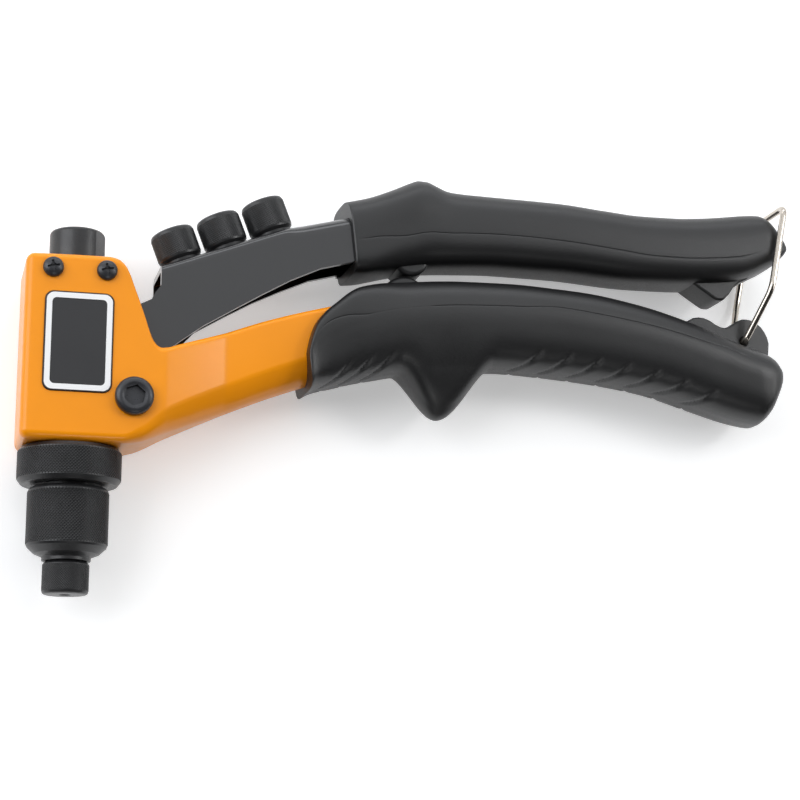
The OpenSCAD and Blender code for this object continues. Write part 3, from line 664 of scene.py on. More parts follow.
def build_ring():
    r = 15.65
    low, top = HEAD_LOW - 0.4 - 11.2, HEAD_LOW - 0.4
    deep = r - KNURL_DEPTH
    rows = [(NECK_R, low), (r - 1.6, low), (r - 1.2, low + 0.15),
            (deep, low + 1.45, KNURL_PITCH, KNURL_DEPTH), (deep, top - 1.1), (r - 0.7, top - 0.55),
            (r - 1.1, top), (NECK_R, top)]
    ob = lathe("ring_knurled", rows, even_columns(r))
    return dress(ob, "frame", ["lock_ring"], PHOSPHATE, angle=20, weighted=False)


def build_sleeve():
    r, low, top, bore = 12.25, 9.9, 31.9, 8.0
    deep = r - KNURL_DEPTH
    rows = [(SHANK_HOLE_R, low), (7.15, low), (7.3, low + 0.15), (7.3, low + 0.95), (7.55, low + 1.3),
            (8.0, low + 1.5), (r - 2.5, low + 2.2), (r - 0.45, low + 4.1),
            (deep, low + 4.75, KNURL_PITCH, KNURL_DEPTH), (deep, top - 1.2), (r - 0.35, top - 0.75),
            (r - 0.7, top - 0.25), (r - 1.2, top), (9.9, top), (9.9, NECK_TOP), (bore, NECK_TOP),
            (bore, SHANK_TOP + 0.4), (SHANK_HOLE_R, SHANK_TOP + 0.4)]
    ob = lathe("sleeve_knurled", rows, even_columns(r))
    return dress(ob, "frame", ["nose_sleeve"], PHOSPHATE, angle=20, weighted=False)


def nose_rows(hole):
    """Fitted nosepiece: knurled head from the mouth up, and its shank."""
    r, high = NOSE_R, 9.8
    deep = r - FINE_DEPTH
    return [(hole, 0.35), (hole + 0.35, 0), (r - 1.1, 0), (r - 0.65, 0.1), (r - 0.3, 0.35),
            (deep, 0.9, FINE_PITCH, FINE_DEPTH), (deep, high - 0.8), (r - 0.55, high - 0.3), (r - 0.9, high),
            (SHANK_R, high), (SHANK_R, 15.2), (SHANK_R - 0.3, SHANK_TOP), (hole, SHANK_TOP)]


def spare_rows(hole, longer):
    """Spare nosepiece: shank in the web, short neck, knurled head above it."""
    r, top = NOSE_R, 11.3 + longer
    deep = r - FINE_DEPTH
    return [(hole, -4.2), (SHANK_R - 0.3, -4.2), (SHANK_R, -3.9), (SHANK_R, 0.05), (5.8, 0.05), (5.8, 1.25),
            (6.15, 1.4), (r - 0.6, 1.7), (r - 0.25, 2.0), (deep, 2.5, FINE_PITCH, FINE_DEPTH),
            (deep, top - 1.3), (r - 0.28, top - 0.72), (r - 0.65, top - 0.28), (r - 1.3, top),
            (hole + 0.35, top), (hole, top - 0.35)]


# Each spare nosepiece: radius of its hole and how much longer it is than the first
SPARES = [(1.0, 0.0), (1.2, 0.3), (1.8, 0.8)]
SPARE_FIRST, SPARE_PITCH = 8.4, 15.4


def spare_place(k):
    """Place of a spare nosepiece, square to the sloping web."""
    d = SPARE_FIRST + SPARE_PITCH * k
    c, s = math.cos(math.radians(WEB_DEG)), math.sin(math.radians(WEB_DEG))
    return (Matrix.Translation((WEB_START[0] + d * c, WEB_START[1] + d * s, 0))
            @ Matrix.Rotation(math.radians(WEB_DEG), 4, "Z") @ UP_Y)


def build_nosepieces():
    columns = even_columns(NOSE_R, FINE_PITCH)
    ob = lathe("nosepiece_knurled", nose_rows(1.5), columns)
    dress(ob, "frame", ["nosepiece"], PHOSPHATE, angle=20, weighted=False)
    for k, (hole, longer) in enumerate(SPARES):
        ob = lathe("spare_knurled_%d" % (k + 1), spare_rows(hole, longer), columns, spare_place(k))
        node = "spare_nosepiece_%d" % (k + 1)
        dress(ob, "lever", [node], PHOSPHATE, angle=20, weighted=False)


# Pressed lever channel

WEB_END = 205
WEB_LINE = [WEB_START, WEB_KNEE, (84, WEB_KNEE[1] + 4.9), (100, WEB_KNEE[1] + 7.8),
            (WEB_END, WEB_KNEE[1] + 7.8)]
CHEEK_LOW = [(84, 61.5), (74.8, 59), (65.3, 54.5), (56.2, 49.2), (47.2, 43.7), (38, 38), (31.1, 32.8)]
FAR_LIFT = [0.9, 0.9, 1.1, 1.9, 2.2, 2.3]
KNEE_SOFT = 3.0
ENVELOPE_X = [-30, 24, 60, 64, 72, 84, 100, 206]
EDGE_ROUND, EDGE_MORE, EDGE_FROM, EDGE_RUN = 3.0, 1.6, 62.5, 6.5
EDGE_STEPS = 8
ROUGH_SIDE, ROUGH_TOP = 0.2, 0.6  # more than is left after the envelope's cut
BOSS_R = 9.5
BUSH_HOLE_R = 6.02
FORK_DEG = 7
FORK = [(2, -4.6), (2, 4.6), (-19, 4.6), (-20.5, 3.6), (-20.5, -3.6), (-19, -4.6)]
FORK_SLOT = [(-14.4, -2.55), (-14.4, 2.55), (-26, 2.55), (-26, -2.55)]


def cheek_outline(top, extra=0.0):
    """Side of the lever, its upper edge raised by top and its other edges moved out by extra."""
    knee = WEB_KNEE[1]
    upper = [(x + (extra if x == WEB_END else 0), y + top) for x, y in WEB_LINE]
    tail = [(WEB_END + extra, knee - 0.2 - extra), (112, knee - 1.6 - extra), (96, knee - 6 - extra)]
    low = [(x, HEAD_LOW + y - extra) for x, y in CHEEK_LOW]
    front = [(27.6, HEAD_LOW + 30), (26.4, HEAD_LOW + 26), (PIVOT[0] + 5, PIVOT[1] + 3),
             (PIVOT[0] - 5, PIVOT[1] + 2), (9.5, HEAD_LOW + 32), (14, HEAD_LOW + 40.5),
             (19, HEAD_LOW + 43.8), (22.1, HEAD_LOW + 45.4), (23.2, HEAD_LOW + 47.6), (24.9, HEAD_LOW + 50)]
    return upper + tail + low + front


def web_high(x):
    """Height of the web, with a soft knee."""
    y = line(x, WEB_LINE)
    d = abs(x - WEB_KNEE[0])
    if d < KNEE_SOFT:
        y -= (rise(WEB_LINE, 0) - rise(WEB_LINE, 1)) * (KNEE_SOFT - d) ** 2 / (4 * KNEE_SOFT)
    return y


def envelope(name, half, drop, less, extra=0.0):
    """Long block under the web line, rounded along both upper edges: tighter at the spares, wider behind."""
    turns = [math.radians(90 * k / EDGE_STEPS) for k in range(EDGE_STEPS + 1)]
    sections = []
    for x in spread(ENVELOPE_X, 3.0):
        r = EDGE_ROUND + EDGE_MORE * smooth((x - EDGE_FROM) / EDGE_RUN) - less
        top = web_high(x) - drop + extra
        s = [(x, top - r + r * math.sin(a), half - r + r * math.cos(a)) for a in turns]
        sections.append([(x, 0.0, half)] + s + [(p[0], p[1], -p[2]) for p in s[::-1]] + [(x, 0.0, -half)])
    return loft(name, sections)


def build_channel():
    wide = CHEEK + ROUGH_SIDE
    ob = prism("channel", cheek_outline(ROUGH_TOP), -wide, wide)
    carve(ob, bar("boss", *PIVOT, BOSS_R, -wide, wide, 96), "UNION")
    turn = math.radians(-FORK_DEG)
    carve(ob, prism("fork", turned_about(PIVOT, turn, FORK), -wide, wide), "UNION")
    carve(ob, prism("fork", turned_about(PIVOT, turn, FORK_SLOT), -wide - 1, wide + 1))
    carve(ob, envelope("outside", CHEEK, 0.0, 0.0), "INTERSECT")
    carve(ob, envelope("inside", CHEEK - SHEET, SHEET / math.cos(math.radians(WEB_DEG)), SHEET))
    far = [(x, HEAD_LOW + y + lift) for (x, y), lift in zip(CHEEK_LOW, FAR_LIFT)]
    far += [(31.1, HEAD_LOW + 32.8), (31.1, HEAD_LOW + 20), (84, HEAD_LOW + 48)]
    carve(ob, prism("far_trim", far, -CHEEK - 1, -CHEEK + SHEET + 1))
    carve(ob, bar("bush_hole", *PIVOT, BUSH_HOLE_R, -CHEEK - 1, CHEEK + 1, 96))
    for k in range(len(SPARES)):
        carve(ob, rod("spare_hole", SHANK_HOLE_R, -8, 4, 64, spare_place(k)))
    return dress(ob, "lever", ["lever_channel"], ENAMEL, angle=30)


# Moulded grips

def power(v, p):
    """Sine or cosine bent for a squarer round: 2 is a circle, more is boxier."""
    return math.copysign(abs(v) ** (2 / p), v)


DRAFT_RUN, DRAFT_MOST, DRAFT_FADE = 6.0, 1.9, 6
SEAM_HALF, SEAM_SIDE = 0.36, 0.55
RING_STEPS = 360


def draft_in(below, slope):
    """How far the mould's draft draws a side in, at so many mm below the parting line."""
    if below <= 0:
        return 0.0
    if below < DRAFT_RUN:
        return slope * below * below / (2 * DRAFT_RUN)
    return min(DRAFT_MOST, slope * (below - DRAFT_RUN / 2))


def grip_ring(low, mid, high, deep, p_low, p_high, seam_y, draft, bulge):
    """Fine half section from the top middle round the front to the bottom middle, as (y, z)."""
    ring = []
    for k in range(RING_STEPS + 1):
        a = math.radians(90 - 180 * k / RING_STEPS)
        p = p_high if a >= 0 else p_low
        reach = high - mid if a >= 0 else mid - low
        y, z = mid + reach * power(math.sin(a), p), deep * power(math.cos(a), p)
        wider = 1 + bulge * smooth((y - seam_y) / (high - seam_y))
        ring.append((y, z * wider - draft_in(seam_y - y, draft) * min(1.0, z / DRAFT_FADE)))
    return ring


def grip_section(x, low, mid, high, deep, p_low, p_high, seam_v, seam_deep, counts, draft, marks=None,
                 bulge=0.0):
    """Half section from the top middle round the front to the bottom middle, mirrored to the back.
    A fine parting groove runs at seam_v, marks(x, s) sinks the surface at s mm from the bottom middle,
    and bulge widens the upper part."""
    seam_y = mid + seam_v * (high - mid if seam_v > 0 else mid - low)
    ring = grip_ring(low, mid, high, deep, p_low, p_high, seam_y, draft, bulge)
    way = [0.0]
    for (ya, za), (yb, zb) in zip(ring, ring[1:]):
        way.append(way[-1] + math.hypot(yb - ya, zb - za))
    cut = next(k for k in range(1, RING_STEPS + 1) if ring[k][0] <= seam_y)
    t = (ring[cut - 1][0] - seam_y) / (ring[cut - 1][0] - ring[cut][0])
    s_seam = way[cut - 1] + t * (way[cut] - way[cut - 1])
    w = SEAM_HALF
    top_n, low_n = counts
    stops = [(s_seam - w) * k / top_n for k in range(top_n)]
    stops += [s_seam - w, s_seam - w / 2, s_seam, s_seam + w / 2, s_seam + w]
    stops += [s_seam + w + (way[-1] - s_seam - w) * k / low_n for k in range(1, low_n + 1)]
    sink = {top_n + 1: SEAM_SIDE, top_n + 2: 1.0, top_n + 3: SEAM_SIDE}
    half, k = [], 0
    for i, s in enumerate(stops):
        while k < RING_STEPS - 1 and way[k + 1] < s:
            k += 1
        t = (s - way[k]) / max(1e-9, way[k + 1] - way[k])
        y = ring[k][0] + t * (ring[k + 1][0] - ring[k][0])
        z = ring[k][1] + t * (ring[k + 1][1] - ring[k][1])
        ny, nz = -(ring[k + 1][1] - ring[k][1]), ring[k + 1][0] - ring[k][0]
        size = math.hypot(ny, nz) or 1.0
        d = sink.get(i, 0.0) * seam_deep + (marks(x, way[-1] - s) if marks else 0.0)
        half.append((x, y + d * ny / size, z + d * nz / size))
    half[0] = (x, half[0][1], 0.0)
    half[-1] = (x, half[-1][1], 0.0)
    return half + [(p[0], p[1], -p[2]) for p in half[-2:0:-1]]


def leaned(section, lean_x, from_y, turn_x):
    """Section whose lower part leans forward and which turns a little about the vertical."""
    return [(x + lean_x * max(0.0, from_y - y) + turn_x * z, y, z) for x, y, z in section]


# Grips by stations along x: edges over the head's underside, width, squareness and parting line
UP_LOW = [(83.2, 58.9), (87, 59.2), (94, 60.3), (102, 62), (110, 63.2), (120, 64.1), (136, 64.9),
          (155, 64.8), (182, 63.5), (196, 63.7), (209, 64.6), (217, 65.6), (222, 67.3), (227, 69.8),
          (230.9, 72), (233.5, 74.5), (234.6, 76.5)]
UP_HIGH = [(83.2, 82.8), (90.7, 84.9), (98.7, 88.2), (104.9, 91.2), (107.6, 92.2), (110, 92.2), (113, 91.1),
           (118, 89.3), (124, 88.9), (155, 88.4), (171, 87.2), (184, 86.4), (196, 86.6), (204, 87.2),
           (212, 88.2), (221, 89.5), (225.5, 89.8), (228, 89), (229.9, 87.2), (231.8, 84), (233.5, 80.7),
           (234.6, 78.1)]
UP_DEEP = [(83.2, 0.97), (83.7, 1), (226, 1), (231.5, 0.97), (233.8, 0.91), (234.6, 0.80)]
UP_CROWN = [(83.2, 3.5), (95, 3.2), (110, 3), (234.6, 3)]
UP_BASE = [(83.2, 7), (88, 6.4), (100, 4.2), (112, 3.6), (234.6, 3.6)]
UP_BULGE = [(83.2, 0), (88, 0.01), (100, 0.06), (106, 0.08), (111, 0.03), (117, -0.02), (128, 0), (234.6, 0)]
UP_SEAM = [(83.2, -0.1), (91.3, -0.12), (103.7, -0.29), (123.9, -0.18), (142, -0.17), (157.8, -0.21),
           (175, -0.24), (186.5, -0.31), (204, -0.33), (234.6, -0.3)]
UP_X = [83.2, 83.3, 83.45, 83.7, 84.4, 86, 88, 124, 226, 228, 229.2, 230.2, 231.2, 232, 232.8, 233.5, 234.1,
        234.4, 234.6]
UP_STEP = 1.4
UP_COUNTS = (18, 24)
UP_HALF = 12.4
UP_MID = 0.45
UP_DRAFT = 0.03
UP_SEAM_DEEP = 0.15
UP_SEAM_SPAN = (84, 6, 226, 8)
UP_LEAN, UP_TURN, UP_LEAN_RUN = 0.11, 0.03, 14
UP_LEAN_HIGH = HEAD_LOW + 82
STOP_HALF, STOP_RIM = 7, 1.4
UP_STOP = (105, HEAD_LOW + 65.7, 6, 48)
TOOTH = [(199.5, 68), (201, 65), (205.4, 62.1), (209.2, 59.7), (210.2, 59.2), (211.3, 59.05), (212.4, 59.1),
         (213.3, 59.5), (215.1, 61.3), (216.7, 63.7), (218.9, 65.5), (221.6, 66.9), (224, 68.6), (224, 75),
         (199.5, 75)]
TOOTH_BACK, TOOTH_FRONT, TOOTH_RIM = -7.5, 6, 0.8


def lifted(outline):
    """Outline given over the head's underside, in the frame."""
    return [(x, y + HEAD_LOW) for x, y in outline]


def build_lever_grip():
    sections = []
    for x in spread(UP_X, UP_STEP):
        low, high = HEAD_LOW + curve(x, UP_LOW), HEAD_LOW + curve(x, UP_HIGH)
        seam_deep = UP_SEAM_DEEP * between(x, *UP_SEAM_SPAN)
        ring = grip_section(x, low, low + UP_MID * (high - low), high, UP_HALF * curve(x, UP_DEEP),
                            curve(x, UP_BASE), curve(x, UP_CROWN), curve(x, UP_SEAM), seam_deep,
                            UP_COUNTS, UP_DRAFT, bulge=curve(x, UP_BULGE))
        front = 1 - smooth((x - UP_X[0]) / UP_LEAN_RUN)
        sections.append(leaned(ring, UP_LEAN * front, UP_LEAN_HIGH, UP_TURN * front))
    ob = loft("upper_grip", sections)
    carve(ob, prism("stop_lump", disc(*UP_STOP), -STOP_HALF, STOP_HALF, STOP_RIM), "UNION")
    carve(ob, prism("tooth", lifted(TOOTH), TOOTH_BACK, TOOTH_FRONT, TOOTH_RIM), "UNION")
    wide = CHEEK + ROUGH_SIDE + SEAT
    pocket = prism("pocket", cheek_outline(ROUGH_TOP + SEAT, SEAT), -wide, wide)
    carve(pocket, envelope("pocket_round", CHEEK + SEAT, 0.0, 0.0, SEAT), "INTERSECT")
    carve(ob, pocket)
    return dress(ob, "lever", ["lever_grip"], RUBBER, angle=38)


LOW_LOW = [(70.5, 20.6), (73, 21.6), (80, 23.1), (88, 25.2), (95, 26.7), (100.5, 27.9), (130, 31),
           (137, 31.4), (150, 30.9), (168, 29.6), (186, 27.2), (204, 22.3), (215, 19.3), (220, 18.3),
           (224.4, 17.8), (227.6, 20.4), (230, 25.4), (231.7, 30.6), (232.2, 33)]
LOW_HIGH = [(70.5, 31.5), (71.5, 36.4), (73.3, 41.3), (76.7, 45.6), (80, 48.6), (84.8, 52.7), (88, 54.5),
            (96, 56.8), (106, 58.3), (122, 59.5), (139, 59.8), (154, 59.2), (164.5, 58.5), (182, 55.7),
            (198, 51.6), (210, 47.4), (220, 43.8), (226.5, 41.8), (229, 40.4), (230.8, 38), (231.8, 36),
            (232.2, 34.7)]
LOW_DEEP = [(70.5, 0.97), (71, 1), (222, 1), (226.5, 0.96), (229.6, 0.86), (231.4, 0.74), (232.2, 0.58)]
LOW_BASE = [(70.5, 5), (78, 4.2), (95, 3.4), (232.2, 3.4)]
LOW_CROWN = [(70.5, 9), (80, 8), (92, 4.5), (104, 3), (232.2, 3)]
LOW_SEAM = [(70.5, 0.6), (75.9, 0.6), (90, 0.27), (112.8, 0.30), (137.7, 0.31), (152.5, 0.40), (168, 0.37),
            (185.3, 0.39), (202.8, 0.46), (211.7, 0.55), (232.2, 0.55)]
LOW_X = [70.5, 70.56, 70.7, 71, 71.6, 73.3, 75.5, 100.5, 132, 222, 226, 228, 229, 230, 230.8, 231.4, 231.8,
         232.05, 232.2]
LOW_STEP = 0.8
LOW_COUNTS = (16, 44)
LOW_HALF = 13.5
LOW_MID = 0.5
LOW_DRAFT = 0.12
LOW_SEAM_DEEP, LOW_SEAM_FAINT = 0.16, 0.75
LOW_SEAM_SPAN = (72, 5, 222, 8)
LOW_FAINT_SPAN = (88, 4, 112, 4)
LOW_LEAN, LOW_LEAN_RUN = 0.15, 9
LOW_LEAN_HIGH = HEAD_LOW + 32
GUARD_FROM, GUARD_PEAK, GUARD_TO = 101.0, 115.0, 132.0
GUARD_DEPTH, GUARD_ROUND, GUARD_POWER = 15.4, 2.1, 1.6
GUARD_BARE = 0.07
CHEVRONS = [74, 81, 88] + [137 + 10 * k for k in range(7)]
CHEVRON_REACH, CHEVRON_SLANT, CHEVRON_HALF, CHEVRON_DEEP = 15.0, 0.75, 1.2, 0.65
CHEVRON_SPAN = (1.0, 2.0, CHEVRON_REACH, 4.0)
LUG = [(197, 40), (198.5, 49), (199.6, 50.8), (201, 52), (202.8, 53), (204.6, 53.3), (206.5, 53.2),
       (208.4, 52.6), (210.6, 51.3), (212.6, 50.4), (214, 50.3), (215.4, 50.6), (217, 51.8), (218.6, 52.9),
       (220.3, 53.6), (222, 53.7), (224, 53.4), (225.7, 52.5), (227.2, 51.3), (228.4, 49.7), (229.3, 47.9),
       (229.8, 45.9), (229.2, 38.6), (226, 34), (210, 34)]
LUG_RIM = 0.7
LOW_STOP = (103, HEAD_LOW + 51.3, 8, 56)
ARM_ROOM_X = [60, 66, 75.5, 84]
WIRE_HOLE_R, WIRE_HOLE_FLARE = 1.18, 0.7


def guard_share(x):
    """How much of the finger guard there is at x, from 0 to 1."""
    if x <= GUARD_FROM or x >= GUARD_TO:
        return 0.0
    if x < GUARD_PEAK:
        return math.sin(math.pi / 2 * (x - GUARD_FROM) / (GUARD_PEAK - GUARD_FROM)) ** GUARD_POWER
    return math.cos(math.pi / 2 * (x - GUARD_PEAK) / (GUARD_TO - GUARD_PEAK)) ** GUARD_POWER


def chevron(x, s):
    """Sink of the slanting grooves under the lower grip, s mm from its bottom middle."""
    if s > CHEVRON_REACH:
        return 0.0
    best = 0.0
    for start in CHEVRONS:
        d = abs(x - start - CHEVRON_SLANT * s) / CHEVRON_HALF
        if d < 1:
            best = max(best, (1 - d * d) ** 2)
    return CHEVRON_DEEP * best * between(s, *CHEVRON_SPAN)


def build_body_grip():
    sections = []
    for x in spread(LOW_X, LOW_STEP):
        base, high = HEAD_LOW + curve(x, LOW_LOW), HEAD_LOW + curve(x, LOW_HIGH)
        g = guard_share(x)
        p_low = curve(x, LOW_BASE) * (1 - g) + GUARD_ROUND * g
        fade = between(x, *LOW_SEAM_SPAN) * (1 - LOW_SEAM_FAINT * between(x, *LOW_FAINT_SPAN))
        ring = grip_section(x, base - GUARD_DEPTH * g, base + LOW_MID * (high - base), high,
                            LOW_HALF * curve(x, LOW_DEEP), p_low, curve(x, LOW_CROWN), curve(x, LOW_SEAM),
                            LOW_SEAM_DEEP * fade, LOW_COUNTS, LOW_DRAFT, chevron if g < GUARD_BARE else None)
        front = 1 - smooth((x - LOW_X[0]) / LOW_LEAN_RUN)
        sections.append(leaned(ring, LOW_LEAN * front, LOW_LEAN_HIGH, 0.0))
    ob = loft("lower_grip", sections)
    half = LUG_THICK / 2
    carve(ob, prism("lug", lifted(LUG), -half, half, LUG_RIM), "UNION")
    carve(ob, prism("stop", disc(*LOW_STOP), -STOP_HALF, STOP_HALF, STOP_RIM), "UNION")
    carve(ob, loft("arm_room", [cast_section(x, SEAT) for x in spread(ARM_ROOM_X, CAST_STEP)]))
    carve(ob, prism("tang_room", tang_outline(SEAT), -TANG_HALF - SEAT, TANG_HALF + SEAT))
    wire, flare = WIRE_HOLE_R, WIRE_HOLE_R + WIRE_HOLE_FLARE
    hole = [(0, -LUG_THICK), (flare, -LUG_THICK), (flare, -half - 0.1), (wire, -half + 0.6),
            (wire, half - 0.6), (flare, half + 0.1), (flare, LUG_THICK), (0, LUG_THICK)]
    carve(ob, lathe("wire_hole", hole, 40, along_z(*CLIP_PIVOT), closed=False))
    return dress(ob, "frame", ["body_grip"], RUBBER, angle=38)


# Wire clip and springs

CLIP_WIRE_R = 1.1
CLIP_SIDE = UP_HALF + 0.6 + CLIP_WIRE_R
CLIP_KNOTS = [(0, 0, 1.2), (0, 0, LUG_THICK / 2 + 1.5), (-0.3, 17.1, CLIP_SIDE), (-5.6, 45.8, CLIP_SIDE)]
CLIP_BENDS = [0, 1.4, 3.0, 3.4]
BEND_STEPS = 10


def build_clip():
    knots = [Vector(k) for k in CLIP_KNOTS]
    flip = Vector((1, 1, -1))
    half = [knots[0], knots[0].lerp(knots[1], 0.4)]
    for k in range(1, len(knots)):
        p, before = knots[k], knots[k - 1]
        after = knots[k + 1] if k < len(knots) - 1 else p * flip
        a = p + (before - p).normalized() * CLIP_BENDS[k]
        b = p + (after - p).normalized() * CLIP_BENDS[k]
        for j in range(BEND_STEPS + 1):
            u = j / BEND_STEPS
            half.append((1 - u) ** 2 * a + 2 * u * (1 - u) * p + u * u * b)
    route = half + [p * flip for p in half[::-1]]
    place = along_z(*CLIP_PIVOT) @ Matrix.Rotation(math.radians(-CLIP_SWING), 4, "Z")
    ob = tube("wire_clip", [place @ p for p in route], CLIP_WIRE_R, 20)
    return dress(ob, "clip", ["lock_clip"], WIRE, angle=50, weighted=False)


# Inner places, as in the part's source
FORK_TAN = math.tan(math.radians(FORK_DEG))
CONE_TAN = math.tan(math.radians(11.5))
STROKE = 2 * PIVOT[0] * FORK_TAN
TRUNNION_Y = PIVOT[1] + PIVOT[0] * FORK_TAN
CASE_LOW = SHANK_TOP + 1.1 + STROKE
CASE_TOP = TRUNNION_Y - 2.4 - 3.19
PUSHER_LOW = CASE_LOW + 2.5 / CONE_TAN - 0.4
PULL_TOP = TRUNNION_Y + 15
COIL_TURNS, COIL_STEPS = 5.5, 28


def build_coil(name, radius, wire, low, high, node):
    """Compression spring coiled from a low end to a high end, tied to no body."""
    count = round(COIL_TURNS * COIL_STEPS)
    climb = high - low - wire
    route = []
    for i in range(count + 1):
        t = 2 * math.pi * COIL_TURNS * i / count
        route.append((radius * math.cos(t), low + wire / 2 + climb * i / count, -radius * math.sin(t)))
    ob = tube(name, route, wire / 2, 10)
    dress(ob, None, [node], SPRING, angle=50, weighted=False)
    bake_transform(ob)
    return ob


def build_jaw_case():
    """Jaw case whose cone runs higher than the CAD's, so that the jaws clear it at the top of their way."""
    mouth, bore, outside = 3.4, 6.05, 7.92
    cone_top = CASE_LOW + (bore - mouth) / CONE_TAN
    rows = [(mouth, CASE_LOW), (outside - 1, CASE_LOW), (outside, CASE_LOW + 1), (outside, CASE_TOP),
            (bore, CASE_TOP), (bore, cone_top)]
    ob = lathe("case_turned", rows, 96)
    return dress(ob, "carriage", ["jaw_case"], STEEL)


# Build everything

build_casting()
build_nameplate()
build_screw(-SCREW_X, "bush_screw_left")
build_screw(SCREW_X, "bush_screw_right")
build_bolt()
build_nut()
build_outlet()
build_ring()
build_sleeve()
build_nosepieces()
build_channel()
build_lever_grip()
build_body_grip()
build_clip()
build_jaw_case()
build_coil("return_coil", 6.0, 1.5, PULL_TOP + 0.05, ROOF_LOW - 2.45, "return_spring")
build_coil("jaw_coil", 4.4, 0.9, PUSHER_LOW + 3.05, CASE_TOP - 4.05, "jaw_spring")

# Inner parts keep their CAD form
STEEL_NODES = ["pull_head", "trunnion_front", "trunnion_back", "jaw_pusher", "jaw_1", "jaw_2", "jaw_3"]
for node in STEEL_NODES + ["pivot_bush"]:
    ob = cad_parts[node]
    ob.data.materials.clear()
    ob.data.materials.append(STEEL if node in STEEL_NODES else BRONZE)


# Floor, light and camera

FLOOR_SIZE, FLOOR_GAP = 6000.0, 0.05
FLOOR_GLOW = 0.38
FLOOR_COLOR = (0.92, 0.92, 0.92, 1)


def build_floor():
    """White floor just under the tool, with a glow that only the viewer and reflections see."""
    size, z = FLOOR_SIZE, cad_box[0][2] / MM - FLOOR_GAP
    corners = [(-size, -size, z), (size, -size, z), (size, size, z), (-size, size, z)]
    ob = piece("floor", corners, [(0, 1, 2, 3)])
    mat = bpy.data.materials.new("white_floor")
    mat.use_nodes = True
    nodes, links = mat.node_tree.nodes, mat.node_tree.links
    nodes.clear()
    out = nodes.new("ShaderNodeOutputMaterial")
    matt = nodes.new("ShaderNodeBsdfDiffuse")
    matt.inputs["Color"].default_value = FLOOR_COLOR
    glow = nodes.new("ShaderNodeEmission")
    rays = nodes.new("ShaderNodeLightPath")
    seen = rays.outputs["Is Camera Ray"]
    for kind in ("Is Glossy Ray", "Is Transmission Ray"):
        more = nodes.new("ShaderNodeMath")
        more.operation = "MAXIMUM"
        links.new(seen, more.inputs[0])
        links.new(rays.outputs[kind], more.inputs[1])
        seen = more.outputs[0]
    level = nodes.new("ShaderNodeMath")
    level.operation = "MULTIPLY"
    level.inputs[1].default_value = FLOOR_GLOW
    links.new(seen, level.inputs[0])
    links.new(level.outputs[0], glow.inputs["Strength"])
    both = nodes.new("ShaderNodeAddShader")
    links.new(matt.outputs[0], both.inputs[0])
    links.new(glow.outputs[0], both.inputs[1])
    links.new(both.outputs[0], out.inputs["Surface"])
    ob.data.materials.append(mat)


# Each softbox: direction from the tool, distance and size in metres, brightness as radiance, colour
LAMPS = [
    ("left_box", (-0.80, 0.20, 0.56), 0.9, (0.55, 0.80), 3.0, (0.95, 0.97, 1.0)),
    ("right_box", (0.88, 0.05, 0.47), 0.9, (0.30, 0.35), 3.2, (1, 1, 1)),
    ("ramp_box", (0.66, 0.24, 0.71), 0.9, (0.2, 0.25), 8.0, (1, 1, 1)),
    ("back_strip", (-0.03, 0.93, 0.38), 0.9, (1.2, 0.26), 2.0, (0.94, 0.96, 1.0)),
    ("front_strip", (0.06, -0.76, 0.64), 0.8, (0.20, 0.20), 4.0, (1, 1, 1)),
]
LAMPS_ROUND = Vector((0.09, 0.07, 0))

# The tent's share of brightness by two axes (from, to, share at from, share at to), and its levels
TENT = [("Y", (0.04, 0.23, 0.0, 1.0)), ("Z", (0.35, 0.75, 0.6, 1.0))]
TENT_BRIGHT, TENT_DARK = 1.12, 0.035
TENT_COLOR = (0.96, 0.98, 1.0, 1)


def build_lamp(name, toward, away, size, radiance, color):
    data = bpy.data.lights.new(name, "AREA")
    data.shape = "RECTANGLE"
    data.size, data.size_y = size
    data.energy = radiance * math.pi * size[0] * size[1]
    data.color = color
    ob = bpy.data.objects.new(name, data)
    bpy.context.scene.collection.objects.link(ob)
    ob.location = LAMPS_ROUND + Vector(toward).normalized() * away
    ob.rotation_euler = (LAMPS_ROUND - ob.location).to_track_quat("-Z", "Y").to_euler()
    ob.visible_camera = False


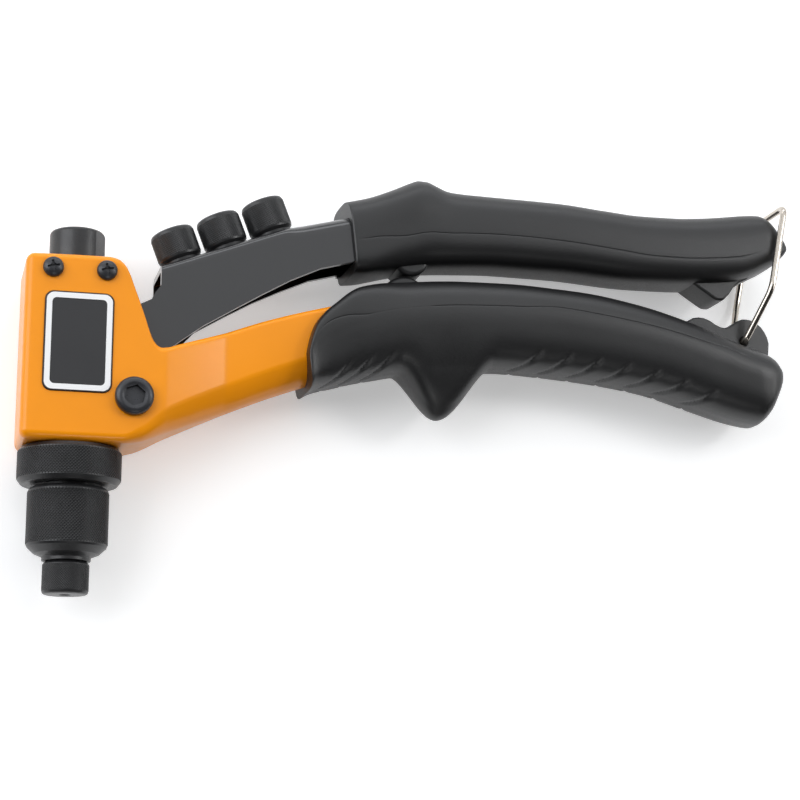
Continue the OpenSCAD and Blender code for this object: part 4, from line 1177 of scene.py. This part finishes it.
def build_tent(world):
    """Light tent: bright on the far side and overhead behind the tool, dark on the viewer's side."""
    world.use_nodes = True
    nodes, links = world.node_tree.nodes, world.node_tree.links
    place = nodes.new("ShaderNodeTexCoord")
    parts = nodes.new("ShaderNodeSeparateXYZ")
    links.new(place.outputs["Generated"], parts.inputs[0])
    total = None
    for axis, stops in TENT:
        share = nodes.new("ShaderNodeMapRange")
        for name, value in zip(("From Min", "From Max", "To Min", "To Max"), stops):
            share.inputs[name].default_value = value
        links.new(parts.outputs[axis], share.inputs["Value"])
        if total:
            both = nodes.new("ShaderNodeMath")
            both.operation = "MULTIPLY"
            links.new(total, both.inputs[0])
            links.new(share.outputs["Result"], both.inputs[1])
            total = both.outputs[0]
        else:
            total = share.outputs["Result"]
    level = nodes.new("ShaderNodeMath")
    level.operation = "MULTIPLY_ADD"
    level.inputs[1].default_value = TENT_BRIGHT
    level.inputs[2].default_value = TENT_DARK
    links.new(total, level.inputs[0])
    links.new(level.outputs[0], nodes["Background"].inputs["Strength"])
    nodes["Background"].inputs["Color"].default_value = TENT_COLOR


# Camera of the photograph: its axes, its place, and half the picture's width and the focal length in pixels
RIGHT = Vector((0.96717, -0.00043, 0.25413))
UP = Vector((-0.05259, 0.97801, 0.20181))
FORWARD = Vector((0.24863, 0.20855, -0.94588))
EYE = Vector((-46.87, -60.95, 570.0)) * MM
PICTURE_HALF, FOCAL = 400, 1898.23


def build_camera(scene):
    camera = bpy.data.objects.new("photo_view", bpy.data.cameras.new("photo_view"))
    scene.collection.objects.link(camera)
    camera.data.sensor_fit = "HORIZONTAL"
    camera.data.angle = 2 * math.atan(PICTURE_HALF / FOCAL)
    camera.data.clip_start = 0.01
    axes = Matrix((RIGHT, UP, -FORWARD)).transposed().to_4x4()
    camera.matrix_world = Matrix.Translation(EYE) @ axes
    scene.camera = camera


build_floor()
scene = bpy.context.scene
if scene.world is None:
    scene.world = bpy.data.worlds.new("studio")
build_tent(scene.world)
for lamp in LAMPS:
    build_lamp(*lamp)
build_camera(scene)
scene.view_settings.view_transform = "Standard"
